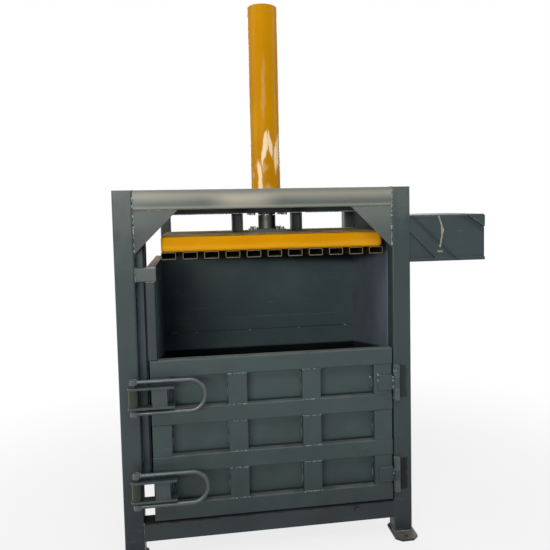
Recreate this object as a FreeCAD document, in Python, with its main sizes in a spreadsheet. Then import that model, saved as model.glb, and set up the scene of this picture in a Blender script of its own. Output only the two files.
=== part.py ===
"""Small upright baling press for cardboard and film.

The machine stands on the floor with its feed side towards -Y. Lengths are in millimetres. The chamber's
middle is the X reference, the front faces of the columns are the Y reference and the floor is Z = 0; the
whole is then set so that the origin lies under the middle of its outer box.
"""

import FreeCAD, Part
import os
import re
import Sketcher

DIMENSIONS = {
    # Chamber and the tubes of its frame
    "chamber_width": 990, "chamber_depth": 700, "wall_sheet": 6, "wall_build": 37, "wall_top": 1208,
    "frame_tube": 80, "tube_wall": 5, "tube_round": 8, "beam_bottom": 1440, "sill_bottom": 76,
    "floor_sheet": 8, "running_gap": 0.05, "rear_tube": 50, "rear_wall_top": 1250,
    # Left jamb between the column and the chamber
    "strip_width": 36, "strip_thick": 6, "strip_return": 102, "strip_bottom": 318, "jamb_gap": 3,
    "jamb_depth": 48, "cap_height": 55, "cap_overhang": 5,
    # Corner gussets, feet and anchors
    "gusset_leg": 176, "gusset_plate": 8, "gusset_inset": 4, "foot_width": 100, "foot_plate": 10,
    "foot_toe": 66, "anchor_toe": 38, "anchor_radius": 9,
    # Wall stiffeners
    "rib_width": 50, "rib_sheet": 4, "side_ribs": 4, "rib_pitch": 160, "back_rib": 40,
    "joist_width": 50, "joists": 3, "joist_pitch": 170, "rib_setback": 12,
    # Back wall
    "slit_height": 6, "slit_level": 810, "rail_bar": 63, "rail_thick": 12,
    # Door
    "door_width": 1015, "door_height": 670, "door_bottom": 160, "door_gap": 6, "door_tube": 38,
    "door_sheet": 6, "rail_height": 70, "upright_width": 80, "door_tube_wall": 3, "door_round": 5,
    "panel_rows": 3, "panel_columns": 3,
    # Door hinges
    "hinge_offset": 10, "hinge_standoff": 14, "knuckle_radius": 13, "knuckle_height": 49,
    "knuckle_gap": 0.5, "pin_radius": 7, "pin_head": 10, "pin_head_height": 5, "leaf_reach": 58,
    "leaf_height": 62, "leaf_thick": 6, "upper_hinge": 681, "lower_hinge": 276,
    # Door latches
    "latch_offset": 18, "latch_standoff": 50, "upper_latch": 697, "lower_latch": 316,
    "clevis_half": 43.5, "clevis_plate": 8, "clevis_nose": 24, "clevis_reach": 159, "block_start": 73,
    "block_width": 58, "block_depth": 66, "shaft_radius": 12, "shaft_half": 74, "cam_radius": 21,
    "cam_gap": 0.4, "jaw_half": 26, "jaw_arm": 16, "jaw_bite": 9, "jaw_length": 70, "jaw_nose": 12,
    "window_half": 32, "window_reach": 20, "window_depth": 24, "grip_radius": 9, "grip_half": 63.5,
    "grip_length": 217, "eye_radius": 16, "eye_half": 10,
    # Cylinder
    "barrel_radius": 66.5, "bore_radius": 55, "barrel_length": 870, "end_cap_height": 35,
    "cylinder_setback": 350, "flange_half": 95, "flange_thick": 24, "flange_bolt": 72,
    "mount_plate": 22, "mount_half_width": 490, "mount_half_depth": 120, "cross_inner": 98,
    "cross_width": 60, "gland_radius": 40, "gland_nose": 9, "gland_spigot": 40, "bolt_radius": 8,
    "bolt_head": 13.5, "bolt_head_height": 10, "nut_height": 13, "port_radius": 16, "port_bore": 9,
    "port_reach": 20, "lower_port": 1510, "upper_port": 2290,
    # Piston and rod
    "rod_radius": 28, "piston_height": 50, "piston_gap": 32, "seal_height": 10, "seal_depth": 6,
    "hub_half": 80, "hub_plate": 14, "hub_radius": 40, "hub_height": 63, "hub_bolt": 60,
    # Platen
    "platen_width": 940, "platen_front": 60, "platen_depth": 580, "platen_top": 1330,
    "platen_beam": 65, "platen_bar": 60, "platen_round": 12, "platen_sheet": 8, "platen_end": 20,
    "foot_tubes": 11, "foot_tube_width": 60, "foot_tube_height": 30, "foot_tube_wall": 2.5,
    "foot_tube_round": 4, "post_half": 25, "post_offset": 137, "post_gap": 2, "post_plate": 5,
    "rib_offset": 66,
    # Side tank
    "tank_width": 340, "tank_depth": 400, "tank_height": 194, "tank_bottom": 1198, "tank_inset": 12,
    "tank_sheet": 4, "lid_thick": 5, "tank_rib_width": 41, "tank_rib_thick": 8, "tank_rib_top": 186,
    "tank_flange": 13, "corner_width": 73, "corner_height": 48, "arm_height": 22,
    # Stop stud on the sill
    "stud_offset": 326, "stud_level": 134, "stud_radius": 10, "stud_length": 14,
}

PLACES = {
    # Heights
    "beam_top": "beam_bottom + frame_tube", "sill_top": "sill_bottom + frame_tube",
    "door_top": "door_bottom + door_height", "platen_bottom": "platen_top - platen_beam",
    "tube_bottom": "platen_bottom - foot_tube_height", "cap_bottom": "wall_top - cap_height",
    "floor_top": "sill_top + floor_sheet", "barrel_bottom": "beam_bottom",
    "barrel_top": "barrel_bottom + barrel_length", "mount_bottom": "beam_bottom - mount_plate",
    "gland_bottom": "mount_bottom - gland_nose", "gland_top": "barrel_bottom + gland_spigot",
    "piston_top": "barrel_top - piston_gap", "piston_bottom": "piston_top - piston_height",
    "hub_top": "platen_top + hub_plate + hub_height",
    # Across
    "half": "chamber_width / 2", "wall_outer": "half + wall_build",
    "left_face": "-(wall_outer + jamb_gap + strip_width)", "right_face": "half",
    "rear_inner": "wall_outer - frame_tube",
    "left_column_axis": "left_face - frame_tube / 2", "right_column_axis": "right_face + frame_tube / 2",
    "rear_column_axis": "rear_inner + rear_tube / 2",
    "door_right": "right_face - door_gap", "door_left": "door_right - door_width",
    "hinge_x": "right_face + hinge_offset", "latch_x": "left_face - latch_offset",
    "tank_left": "right_face + frame_tube", "tank_right": "tank_left + tank_width",
    # Front to back
    "rear_face": "chamber_depth + wall_sheet", "machine_back": "rear_face + frame_tube",
    "platen_back": "platen_front + platen_depth", "door_back": "door_tube + door_sheet",
    # The origin under the middle of the outer box
    "foot_left": "left_column_axis - foot_width / 2", "foot_front": "-foot_toe",
    "foot_back": "machine_back + foot_toe", "latch_front": "-(latch_standoff + clevis_nose)",
    "origin_x": "-(tank_right + foot_left) / 2", "origin_y": "-(foot_back + latch_front) / 2",
}

ORIGIN = {"x": "origin_x", "y": "origin_y", "z": "0"}
ACROSS = {"x": "yz", "y": "xz", "z": "xy"}
SIDE = {"Length": "x", "Width": "y", "Height": "z"}

DOC = FreeCAD.newDocument("RecyclingBaler")
SHEET = DOC.addObject("Spreadsheet::Sheet", "Sizes")
NODES = []


# ---------------------------------------------------------------- formulas

def fill_sheet():
    """Write every driving dimension into the sheet under its own alias."""
    for row, (alias, number) in enumerate(DIMENSIONS.items(), start=1):
        SHEET.set(f"A{row}", alias)
        SHEET.set(f"B{row}", str(number))
        SHEET.setAlias(f"B{row}", alias)
    SHEET.recompute()


def formula(text):
    """A size formula with its names resolved down to cells of the sheet."""
    def resolve(match):
        word = match.group(0)
        if word in PLACES:
            return f"({formula(PLACES[word])})"
        return f"Sizes.{word}" if word in DIMENSIONS else word
    return re.sub(r"[a-z]\w*", resolve, str(text))


def number(text):
    """The value of a size formula."""
    return float(SHEET.evalExpression(formula(text)))


def bind(item, name, text):
    """Drive one property of an object by a size formula."""
    item.setExpression(name, formula(text))


# ---------------------------------------------------------------- primitives and booleans

def node(label, item):
    """Name a finished sub-part and keep it for export."""
    item.Label = label
    NODES.append(item)
    return item


def size_box(item, ranges, origin):
    """Drive a box between low and high formulas along each axis."""
    for side, axis in SIDE.items():
        low, high = ranges[axis]
        bind(item, side, f"({high}) - ({low})")
        bind(item, f"Placement.Base.{axis}", f"({low}) + {origin[axis]}")


def block(name, x, y, z):
    """A solid box."""
    item = DOC.addObject("Part::Box", name)
    size_box(item, {"x": x, "y": y, "z": z}, ORIGIN)
    return item


def turn_to(axis):
    """The rotation that turns +Z to an axis."""
    ways = {"x": FreeCAD.Vector(1, 0, 0), "y": FreeCAD.Vector(0, 1, 0), "z": FreeCAD.Vector(0, 0, 1)}
    return FreeCAD.Rotation(FreeCAD.Vector(0, 0, 1), ways[axis])


def place_round(item, axis, start, centre):
    """Set a round primitive on its axis: start along it, centre across it."""
    item.Placement = FreeCAD.Placement(FreeCAD.Vector(), turn_to(axis))
    where = dict(zip(ACROSS[axis], centre))
    where[axis] = start
    for name, text in where.items():
        bind(item, f"Placement.Base.{name}", f"({text}) + {ORIGIN[name]}")


def bar(name, axis, centre, radius, span):
    """A solid round bar along an axis."""
    item = DOC.addObject("Part::Cylinder", name)
    bind(item, "Radius", radius)
    bind(item, "Height", f"({span[1]}) - ({span[0]})")
    place_round(item, axis, span[0], centre)
    return item


def hexagon(name, axis, centre, radius, span):
    """A hexagonal head or nut."""
    item = DOC.addObject("Part::Prism", name)
    item.Polygon = 6
    bind(item, "Circumradius", radius)
    bind(item, "Height", f"({span[1]}) - ({span[0]})")
    place_round(item, axis, span[0], centre)
    return item


def cut(name, base, *tools):
    """One piece with others taken away from it."""
    for index, tool in enumerate(tools, start=1):
        item = DOC.addObject("Part::Cut", f"{name}{index}")
        item.Base, item.Tool = base, tool
        base = item
    return base


def fuse(name, *items):
    """Pieces welded or turned as one solid."""
    item = DOC.addObject("Part::MultiFuse", name)
    item.Shapes = list(items)
    return item


def group(name, *items):
    """Separate solids that share one node."""
    item = DOC.addObject("Part::Compound", name)
    item.Links = list(items)
    return item


# ---------------------------------------------------------------- part design bodies

def body(name):
    """An empty body set on the machine's own references."""
    item = DOC.addObject("PartDesign::Body", name)
    item.AllowCompound = True
    bind(item, "Placement.Base.x", "origin_x")
    bind(item, "Placement.Base.y", "origin_y")
    return item


def body_box(piece, kind, name, x, y, z):
    """A box added to a body, or taken away from it."""
    item = piece.newObject(f"PartDesign::{kind}Box", name)
    size_box(item, {"x": x, "y": y, "z": z}, {"x": "0", "y": "0", "z": "0"})
    DOC.recompute([item])
    return item


def edges_along(shape, axis, wanted=None):
    """Names of the straight edges that run along an axis."""
    found = []
    for index, edge in enumerate(shape.Edges, start=1):
        ends = [vertex.Point for vertex in edge.Vertexes]
        if len(ends) != 2:
            continue
        step = (ends[1] - ends[0]).normalize()
        if abs(getattr(step, axis)) > 0.999 and (wanted is None or wanted(edge.CenterOfMass)):
            found.append(f"Edge{index}")
    return found


def edges_level(shape, axis, levels):
    """Names of the edges that lie wholly at one of some levels of an axis."""
    found = []
    for index, edge in enumerate(shape.Edges, start=1):
        for level in levels:
            if all(abs(getattr(vertex.Point, axis) - level) < 0.01 for vertex in edge.Vertexes):
                found.append(f"Edge{index}")
    return found


def round_edges(piece, base, name, edges, radius):
    """Round some edges of a body's last feature."""
    item = piece.newObject("PartDesign::Fillet", name)
    item.Base = (base, edges)
    bind(item, "Radius", radius)
    DOC.recompute([item])
    return item


def hollow_tube(name, along, x, y, z, wall="tube_wall", rounding="tube_round", close=("", "")):
    """A rectangular hollow section with rounded long edges; close gives a wall's thickness at an end."""
    piece = body(name)
    ranges = {"x": x, "y": y, "z": z}
    outer = body_box(piece, "Additive", f"{name}Bar", x, y, z)
    rounded = round_edges(piece, outer, f"{name}Corners", edges_along(outer.Shape, along), rounding)
    bore = {}
    for axis, (low, high) in ranges.items():
        if axis == along:
            bore[axis] = (f"{low} + {close[0] or -1}", f"{high} - ({close[1] or -1})")
        else:
            bore[axis] = (f"{low} + {wall}", f"{high} - {wall}")
    body_box(piece, "Subtractive", f"{name}Bore", bore["x"], bore["y"], bore["z"])
    return piece


def small_tube(name, along, x, y, z, close=("", "")):
    """A lighter hollow section, as used on the walls and jamb."""
    return hollow_tube(name, along, x, y, z, wall="rib_sheet", rounding="door_round", close=close)


def outline(piece, name, plane, level, corners):
    """A closed sketch through corners, each tied to the origin by two formulas."""
    planes = {feature.Role: feature for feature in piece.Origin.OriginFeatures}
    sketch = piece.newObject("Sketcher::SketchObject", name)
    sketch.AttachmentSupport = [(planes[f"{plane}_Plane"], "")]
    sketch.MapMode = "FlatFace"
    bind(sketch, "AttachmentOffset.Base.z", level)
    points = [FreeCAD.Vector(number(h), number(v), 0) for h, v in corners]
    for index, point in enumerate(points):
        sketch.addGeometry(Part.LineSegment(point, points[(index + 1) % len(points)]))
    for index, point in enumerate(points):
        following = (index + 1) % len(points)
        sketch.addConstraint(Sketcher.Constraint("Coincident", index, 2, following, 1))
        for way, axis_line, size, text in (("X", -2, point.x, corners[index][0]),
                                           ("Y", -1, point.y, corners[index][1])):
            if abs(size) < 1e-6:
                sketch.addConstraint(Sketcher.Constraint("PointOnObject", index, 1, axis_line))
            else:
                tie = sketch.addConstraint(Sketcher.Constraint(f"Distance{way}", -1, 1, index, 1, size))
                bind(sketch, f"Constraints[{tie}]", text)
    DOC.recompute([sketch])
    return sketch


def pad(piece, name, plane, corners, span):
    """A flat-sided piece: corners in a plane, drawn out over a span square to it."""
    low, high = span
    level = f"-({high})" if plane == "XZ" else low
    sketch = outline(piece, f"{name}Outline", plane, level, corners)
    item = piece.newObject("PartDesign::Pad", name)
    item.Profile = sketch
    bind(item, "Length", f"({high}) - ({low})")
    DOC.recompute([item])
    return item


def turned(name, centre, corners):
    """A turned piece: its half outline as (radius, height) corners, spun about a vertical axis."""
    piece = body(name)
    bind(piece, "Placement.Base.x", f"({centre[0]}) + origin_x")
    bind(piece, "Placement.Base.y", f"({centre[1]}) + origin_y")
    sketch = outline(piece, f"{name}Outline", "XZ", "0", corners)
    item = piece.newObject("PartDesign::Revolution", f"{name}Turned")
    item.Profile = sketch
    item.ReferenceAxis = (sketch, ["V_Axis"])
    item.Angle = 360
    return piece


def repeat(piece, feature, name, plane_axis, count, length):
    """Repeat a feature in a row along its sketch's own axis."""
    item = piece.newObject("PartDesign::LinearPattern", name)
    item.Originals = [feature]
    item.Direction = (feature.Profile[0], [plane_axis])
    bind(item, "Length", length)
    bind(item, "Occurrences", count)
    piece.Tip = item
    return item


# ---------------------------------------------------------------- frame

def columns():
    """Two front columns, the left with a window for each latch jaw, and two narrower ones at the rear."""
    left = hollow_tube("FrontLeftColumn", "z", ("left_face - frame_tube", "left_face"), ("0", "frame_tube"),
                       ("foot_plate", "beam_top"), close=("", "tube_wall"))
    for latch in ("upper_latch", "lower_latch"):
        body_box(left, "Subtractive", f"{latch}_window", ("latch_x - window_reach", "left_face + 1"),
                 ("-1", "window_depth"), (f"{latch} - window_half", f"{latch} + window_half"))
    node("front_left_column", left)
    right = hollow_tube("FrontRightColumn", "z", ("right_face", "right_face + frame_tube"),
                        ("0", "frame_tube"), ("foot_plate", "beam_top"), close=("", "tube_wall"))
    node("front_right_column", right)
    spans = (("-(rear_inner + rear_tube)", "-rear_inner"), ("rear_inner", "rear_inner + rear_tube"))
    node("rear_columns", group("RearPair", *(
        hollow_tube("RearColumn", "z", across, ("rear_face", "machine_back"), ("foot_plate", "beam_bottom"))
        for across in spans)))


def beams():
    """Top beams, the cross beams beside the cylinder, and the sills at the foot."""
    top = ("beam_bottom", "beam_top")
    foot = ("sill_bottom", "sill_top")
    front = ("0", "frame_tube")
    back = ("rear_face", "machine_back")
    between = ("frame_tube", "rear_face")
    node("front_top_beam", hollow_tube("FrontTopBeam", "x", ("left_face", "right_face"), front, top))
    node("rear_top_beam", hollow_tube("RearTopBeam", "x", ("-wall_outer", "wall_outer"), back, top,
                                      close=("tube_wall", "tube_wall")))
    node("front_sill", hollow_tube("FrontSill", "x", ("left_face", "right_face"), front, foot))
    node("rear_sill", hollow_tube("RearSill", "x", ("-rear_inner", "rear_inner"), back, foot))
    sides = (("-wall_outer", "-rear_inner"), ("rear_inner", "wall_outer"))
    for label, span, cap in (("side_top_beams", top, ""), ("side_sills", foot, "tube_wall")):
        node(label, group(f"{label}_pair", *(hollow_tube(f"{label}_tube", "y", across, between, span,
                                                         close=("", cap)) for across in sides)))
    crosses = (("-(cross_inner + cross_width)", "-cross_inner"), ("cross_inner", "cross_inner + cross_width"))
    node("cylinder_cross_beams", group("CrossPair", *(hollow_tube("CrossBeam", "y", across, between, top)
                                                      for across in crosses)))


def gussets():
    """Triangular corner plates under the front top beam."""
    plates = []
    for face, way in (("left_face", 1), ("right_face", -1)):
        plate = body("Gusset")
        pad(plate, "GussetPlate", "XZ",
            [(face, "beam_bottom"), (f"{face} + {way} * gusset_leg", "beam_bottom"),
             (face, "beam_bottom - gusset_leg")], ("gusset_inset", "gusset_inset + gusset_plate"))
        plates.append(plate)
    node("corner_gussets", group("GussetSet", *plates))


def feet():
    """Foot plates with an anchor hole in the toe of each."""
    plates = []
    spots = (("left_column_axis", "frame_tube", -1), ("right_column_axis", "frame_tube", -1),
             ("-rear_column_axis", "rear_face", 1), ("rear_column_axis", "rear_face", 1))
    for axis, heel, way in spots:
        face = "0" if way < 0 else "machine_back"
        toe = f"{face} + {way} * foot_toe"
        notch = f"{toe} - {way} * foot_width / 4"
        plate = body("Foot")
        pad(plate, "FootPlate", "XY",
            [(f"{axis} - foot_width / 2", heel), (f"{axis} + foot_width / 2", heel),
             (f"{axis} + foot_width / 2", notch), (f"{axis} + foot_width / 4", toe),
             (f"{axis} - foot_width / 4", toe), (f"{axis} - foot_width / 2", notch)], ("0", "foot_plate"))
        hole = bar("Anchor", "z", (axis, f"{face} + {way} * anchor_toe"), "anchor_radius",
                   ("-1", "foot_plate + 1"))
        plates.append(cut("FootWithHole", plate, hole))
    node("foot_plates", group("FootSet", *plates))


# ---------------------------------------------------------------- chamber

def walls():
    """Side walls with their top rails and pressed channel ribs."""
    node("left_side_wall", block("LeftWall", ("-half - wall_sheet", "-half"),
                                 ("jamb_depth", "rear_face"), ("sill_top", "wall_top")))
    node("right_side_wall", block("RightWall", ("half", "half + wall_sheet"),
                                  ("frame_tube", "rear_face"), ("sill_top", "beam_bottom")))
    rails, ribs = [], []
    for way, front in ((-1, "jamb_depth"), (1, "frame_tube")):
        near, far = f"{way} * (half + wall_sheet)", f"{way} * wall_outer"
        across = (far, near) if way < 0 else (near, far)
        rails.append(small_tube("WallRail", "y", across, (front, "rear_face"),
                                ("wall_top - wall_build", "wall_top")))
        inner = f"{way} * (wall_outer - rib_sheet)"
        first = "frame_tube + rib_width / 2"
        last = f"{first} + rib_width"
        rib = body("WallRib")
        channel = pad(rib, "Channel", "XY",
                      [(near, first), (far, first), (far, last), (near, last),
                       (near, f"{last} - rib_sheet"), (inner, f"{last} - rib_sheet"),
                       (inner, f"{first} + rib_sheet"), (near, f"{first} + rib_sheet")],
                      ("sill_top", "wall_top - wall_build"))
        repeat(rib, channel, "RibRow", "V_Axis", "side_ribs", "(side_ribs - 1) * rib_pitch")
        ribs.append(rib)
    node("side_wall_top_rails", group("WallRails", *rails))
    node("side_wall_ribs", group("WallRibs", *ribs))


def left_jamb():
    """The folded strip set back beside the left column, the box stile and the cap over both."""
    strip = body("JambStrip")
    edge = "left_face + strip_width"
    pad(strip, "FoldedStrip", "XY",
        [("left_face", "jamb_depth"), (edge, "jamb_depth"), (edge, "jamb_depth + strip_return"),
         (f"{edge} - strip_thick", "jamb_depth + strip_return"),
         (f"{edge} - strip_thick", "jamb_depth + strip_thick"), ("left_face", "jamb_depth + strip_thick")],
        ("strip_bottom", "beam_bottom"))
    node("jamb_strip", strip)
    node("jamb_stile", small_tube("JambStile", "z", ("-wall_outer", "-half"), ("0", "jamb_depth"),
                                  ("door_top + jamb_gap", "cap_bottom")))
    node("jamb_cap", small_tube("JambCap", "x", ("left_face", "-half + cap_overhang"), ("0", "jamb_depth"),
                                ("cap_bottom", "wall_top"), close=("", "rib_sheet")))


def back_wall():
    """Upper and lower sheets with a slit between them, the rail over the slit and the ribs behind."""
    across = ("-half", "half")
    sheet = ("chamber_depth", "rear_face")
    rail_low = "slit_level + slit_height / 2"
    rail_high = f"{rail_low} + rail_bar"
    lower_top = "slit_level - slit_height / 2"
    node("rear_upper_panel", block("RearUpper", across, sheet, (rail_high, "rear_wall_top")))
    node("rear_panel_rail", block("RearRail", across, ("rear_face - rail_thick", "rear_face"),
                                  (rail_low, rail_high)))
    node("rear_lower_panel", block("RearLower", across, sheet, ("sill_top", lower_top)))
    reach = "(rear_inner - rib_setback)"
    levels = ("rear_wall_top - back_rib / 2", "(rear_wall_top + slit_level) / 2", "slit_level",
              "(sill_top + slit_level) / 2", "sill_top + back_rib / 2")
    node("rear_wall_ribs", group("RearRibs", *(
        small_tube("RearRib", "x", (f"-{reach}", reach), ("rear_face", "rear_face + back_rib"),
                   (f"{level} - back_rib / 2", f"{level} + back_rib / 2")) for level in levels)))


def floor():
    """The floor sheet on three channel joists."""
    node("chamber_floor", block("Floor", ("-half", "half"), ("jamb_depth", "chamber_depth"),
                                ("sill_top", "floor_top")))
    joist = body("Joist")
    first = "frame_tube + (rear_face - frame_tube - (joists - 1) * joist_pitch - joist_width) / 2"
    last = f"{first} + joist_width"
    low = "sill_top - joist_width"
    channel = pad(joist, "JoistChannel", "YZ",
                  [(first, "sill_top"), (first, low), (f"{first} + rib_sheet", low),
                   (f"{first} + rib_sheet", "sill_top - rib_sheet"),
                   (f"{last} - rib_sheet", "sill_top - rib_sheet"),
                   (f"{last} - rib_sheet", low), (last, low), (last, "sill_top")],
                  ("-rear_inner", "rear_inner"))
    repeat(joist, channel, "JoistRow", "H_Axis", "joists", "(joists - 1) * joist_pitch")
    node("floor_joists", joist)
    node("sill_stop_stud", hexagon("StopStud", "y", ("stud_offset", "stud_level"), "stud_radius",
                                   ("-stud_length", "0")))


def side_tank():
    """The closed tank beside the right column: tray, lid, front ribs and the brackets behind it."""
    across = ("tank_left", "tank_right")
    depth = ("tank_inset", "tank_inset + tank_depth")
    top = "tank_bottom + tank_height"
    front = ("tank_inset - tank_rib_thick", "tank_inset")
    tray = block("TankOuter", across, depth, ("tank_bottom", top))
    hollow = block("TankInner", ("tank_left + tank_sheet", "tank_right - tank_sheet"),
                   ("tank_inset + tank_sheet", "tank_inset + tank_depth - tank_sheet"),
                   ("tank_bottom + tank_sheet", f"{top} + 1"))
    node("side_tank", cut("TankTray", tray, hollow))
    node("tank_lid", block("TankLid", across, depth, (top, f"{top} + lid_thick")))
    low = "tank_bottom + tank_flange"
    high = "tank_bottom + tank_rib_top"
    edge = "tank_rib_width * sqrt(2)"
    rib = body("TankRib")
    pad(rib, "DiagonalRib", "XZ", [("tank_left", high), ("tank_left", f"{high} - {edge}"),
                                   (f"tank_left + {high} - {edge} - ({low})", low),
                                   (f"tank_left + {high} - ({low})", low)], front)
    corner = body("TankCorner")
    pad(corner, "CornerPlate", "XZ", [("tank_right", top), ("tank_right - corner_width", top),
                                      ("tank_right", f"{top} - corner_height")], front)
    flange = block("TankFlange", across, front, ("tank_bottom", low))
    node("tank_front_ribs", group("TankRibs", rib, corner, flange))
    starts = ("frame_tube + rib_width", "frame_tube + tank_depth - 3 * rib_width")
    arms = [block("TankArm", ("wall_outer", "tank_left"), (start, f"{start} + rib_width"),
                  ("wall_top - arm_height", "wall_top")) for start in starts]
    node("tank_brackets", group("TankArms", *arms))


# ---------------------------------------------------------------- cylinder

def corner_spots(reach, middle):
    """The four corners of a square bolt pattern about the cylinder's axis."""
    return [(f"{a} * {reach}", f"{middle} + {b} * {reach}") for a in (-1, 1) for b in (-1, 1)]


def cylinder():
    """Barrel, end cap, flange, gland and oil ports, all standing on the mounting plate."""
    axis = ("0", "cylinder_setback")
    ports = ("lower_port", "upper_port")
    barrel = turned("Barrel", axis, [("bore_radius", "barrel_bottom"), ("barrel_radius", "barrel_bottom"),
                                     ("barrel_radius", "barrel_top"), ("bore_radius", "barrel_top")])
    drills = [bar("PortDrill", "y", ("0", port), "port_bore",
                  ("cylinder_setback + rod_radius", "cylinder_setback + barrel_radius + port_reach + 1"))
              for port in ports]
    node("cylinder_barrel", cut("BarrelDrilled", barrel, *drills))
    shell = bar("PortSaddle", "z", axis, "barrel_radius", ("barrel_bottom", "barrel_top"))
    reach = ("cylinder_setback + bore_radius", "cylinder_setback + barrel_radius + port_reach")
    bosses = [cut("PortBoss", bar("PortBar", "y", ("0", port), "port_radius", reach), shell, drill)
              for port, drill in zip(ports, drills)]
    node("oil_port_bosses", group("PortBosses", *bosses))
    bevel = "tank_sheet"
    cap_top = "barrel_top + end_cap_height"
    node("cylinder_end_cap", turned("EndCap", axis, [
        ("0", "barrel_top"), ("barrel_radius", "barrel_top"), ("barrel_radius", f"{cap_top} - {bevel}"),
        (f"barrel_radius - {bevel}", cap_top), ("0", cap_top)]))
    inner = "rod_radius + running_gap"
    node("cylinder_gland", turned("Gland", axis, [
        (inner, "gland_bottom"), ("gland_radius", "gland_bottom"), ("gland_radius", "barrel_bottom"),
        ("bore_radius - running_gap", "barrel_bottom"), ("bore_radius - running_gap", "gland_top"),
        (inner, "gland_top")]))


def cylinder_mount():
    """The mounting plate under the cross beams, the flange on it and the four bolts through both."""
    axis = ("0", "cylinder_setback")
    flange_top = "barrel_bottom + flange_thick"
    spots = corner_spots("flange_bolt", "cylinder_setback")
    holes = [bar("FlangeHole", "z", spot, "bolt_radius + 0.5", ("mount_bottom - 1", f"{flange_top} + 1"))
             for spot in spots]
    plate = block("MountPlate", ("-mount_half_width", "mount_half_width"),
                  ("cylinder_setback - mount_half_depth", "cylinder_setback + mount_half_depth"),
                  ("mount_bottom", "beam_bottom"))
    passage = bar("GlandHole", "z", axis, "gland_radius + 1", ("mount_bottom - 1", "beam_bottom + 1"))
    node("cylinder_mounting_plate", cut("MountPlateHoled", plate, passage, *holes))
    flange = block("Flange", ("-flange_half", "flange_half"),
                   ("cylinder_setback - flange_half", "cylinder_setback + flange_half"),
                   ("barrel_bottom", flange_top))
    seat = bar("FlangeSeat", "z", axis, "barrel_radius + running_gap",
               ("barrel_bottom - 1", f"{flange_top} + 1"))
    node("cylinder_flange", cut("FlangeHoled", flange, seat, *holes))
    bolts = []
    for spot in spots:
        head = hexagon("BoltHead", "z", spot, "bolt_head",
                       ("mount_bottom - bolt_head_height", "mount_bottom"))
        shank = bar("BoltShank", "z", spot, "bolt_radius", ("mount_bottom", f"{flange_top} + nut_height + 4"))
        nut = hexagon("BoltNut", "z", spot, "bolt_head", (flange_top, f"{flange_top} + nut_height"))
        bolts.append(fuse("Bolt", head, shank, nut))
    node("cylinder_bolts", group("CylinderBolts", *bolts))


def piston_and_rod():
    """Rod, piston and seal ring, and the hub that bolts the rod to the platen."""
    axis = ("0", "cylinder_setback")
    node("piston_rod", bar("Rod", "z", axis, "rod_radius", ("platen_top + hub_plate", "piston_bottom")))
    rim = "bore_radius - running_gap"
    groove = f"{rim} - seal_depth"
    low = "piston_bottom + piston_height / 2 - seal_height / 2"
    high = "piston_bottom + piston_height / 2 + seal_height / 2"
    node("piston", turned("Piston", axis, [
        ("0", "piston_bottom"), (rim, "piston_bottom"), (rim, low), (groove, low), (groove, high),
        (rim, high), (rim, "piston_top"), ("0", "piston_top")]))
    node("piston_seal", turned("Seal", axis, [
        (f"{groove} + running_gap", f"{low} + running_gap"), (rim, f"{low} + running_gap"),
        (rim, f"{high} - running_gap"), (f"{groove} + running_gap", f"{high} - running_gap")]))
    plate_top = "platen_top + hub_plate"
    spots = corner_spots("hub_bolt", "cylinder_setback")
    plate = block("HubPlate", ("-hub_half", "hub_half"),
                  ("cylinder_setback - hub_half", "cylinder_setback + hub_half"), ("platen_top", plate_top))
    boss = bar("HubBoss", "z", axis, "hub_radius", (plate_top, "hub_top"))
    socket = bar("HubSocket", "z", axis, "rod_radius + running_gap", (plate_top, "hub_top + 1"))
    holes = [bar("HubHole", "z", spot, "pin_radius + 0.5", ("platen_top - 1", f"{plate_top} + 1"))
             for spot in spots]
    node("rod_hub", cut("HubHoled", fuse("Hub", plate, boss), socket, *holes))
    bolts = []
    for spot in spots:
        head = hexagon("HubBoltHead", "z", spot, "bolt_head", (plate_top, f"{plate_top} + bolt_head_height"))
        bolts.append(fuse("HubBolt", head, bar("HubBoltShank", "z", spot, "pin_radius",
                                               ("platen_top", plate_top))))
    node("rod_hub_bolts", group("HubBolts", *bolts))


# ---------------------------------------------------------------- platen

def platen_beam(label, span, outer_face):
    """A full-width beam of the platen, rounded along its edges and at its outer corners."""
    piece = body(label.title().replace("_", ""))
    base = body_box(piece, "Additive", f"{label}_bar", ("-platen_width / 2", "platen_width / 2"), span,
                    ("platen_bottom", "platen_top"))
    face = number(outer_face)
    corners = edges_along(base.Shape, "z", lambda point: abs(point.y - face) < 1)
    eased = round_edges(piece, base, f"{label}_ends", corners, "platen_end")
    levels = [number("platen_bottom"), number("platen_top")]
    round_edges(piece, eased, f"{label}_rims", edges_level(eased.Shape, "z", levels), "platen_round")
    body_box(piece, "Subtractive", f"{label}_bore",
             ("-platen_width / 2 + platen_end", "platen_width / 2 - platen_end"),
             (f"{span[0]} + tube_wall", f"{span[1]} - tube_wall"),
             ("platen_bottom + tube_wall", "platen_top - tube_wall"))
    node(label, piece)


def stop_post(middle):
    """A stop post of channel section, open to the front, with a closing plate on its top."""
    left, right = f"{middle} - post_half", f"{middle} + post_half"
    front, back = "cylinder_setback - post_half", "cylinder_setback + post_half"
    top = "mount_bottom - post_gap"
    post = body("StopPost")
    pad(post, "PostChannel", "XY",
        [(left, front), (f"{left} + post_plate", front), (f"{left} + post_plate", f"{back} - post_plate"),
         (f"{right} - post_plate", f"{back} - post_plate"), (f"{right} - post_plate", front), (right, front),
         (right, back), (left, back)], ("platen_top", top))
    body_box(post, "Additive", "PostCap", (left, right), (front, back), (f"{top} - post_plate", top))
    return post


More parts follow.
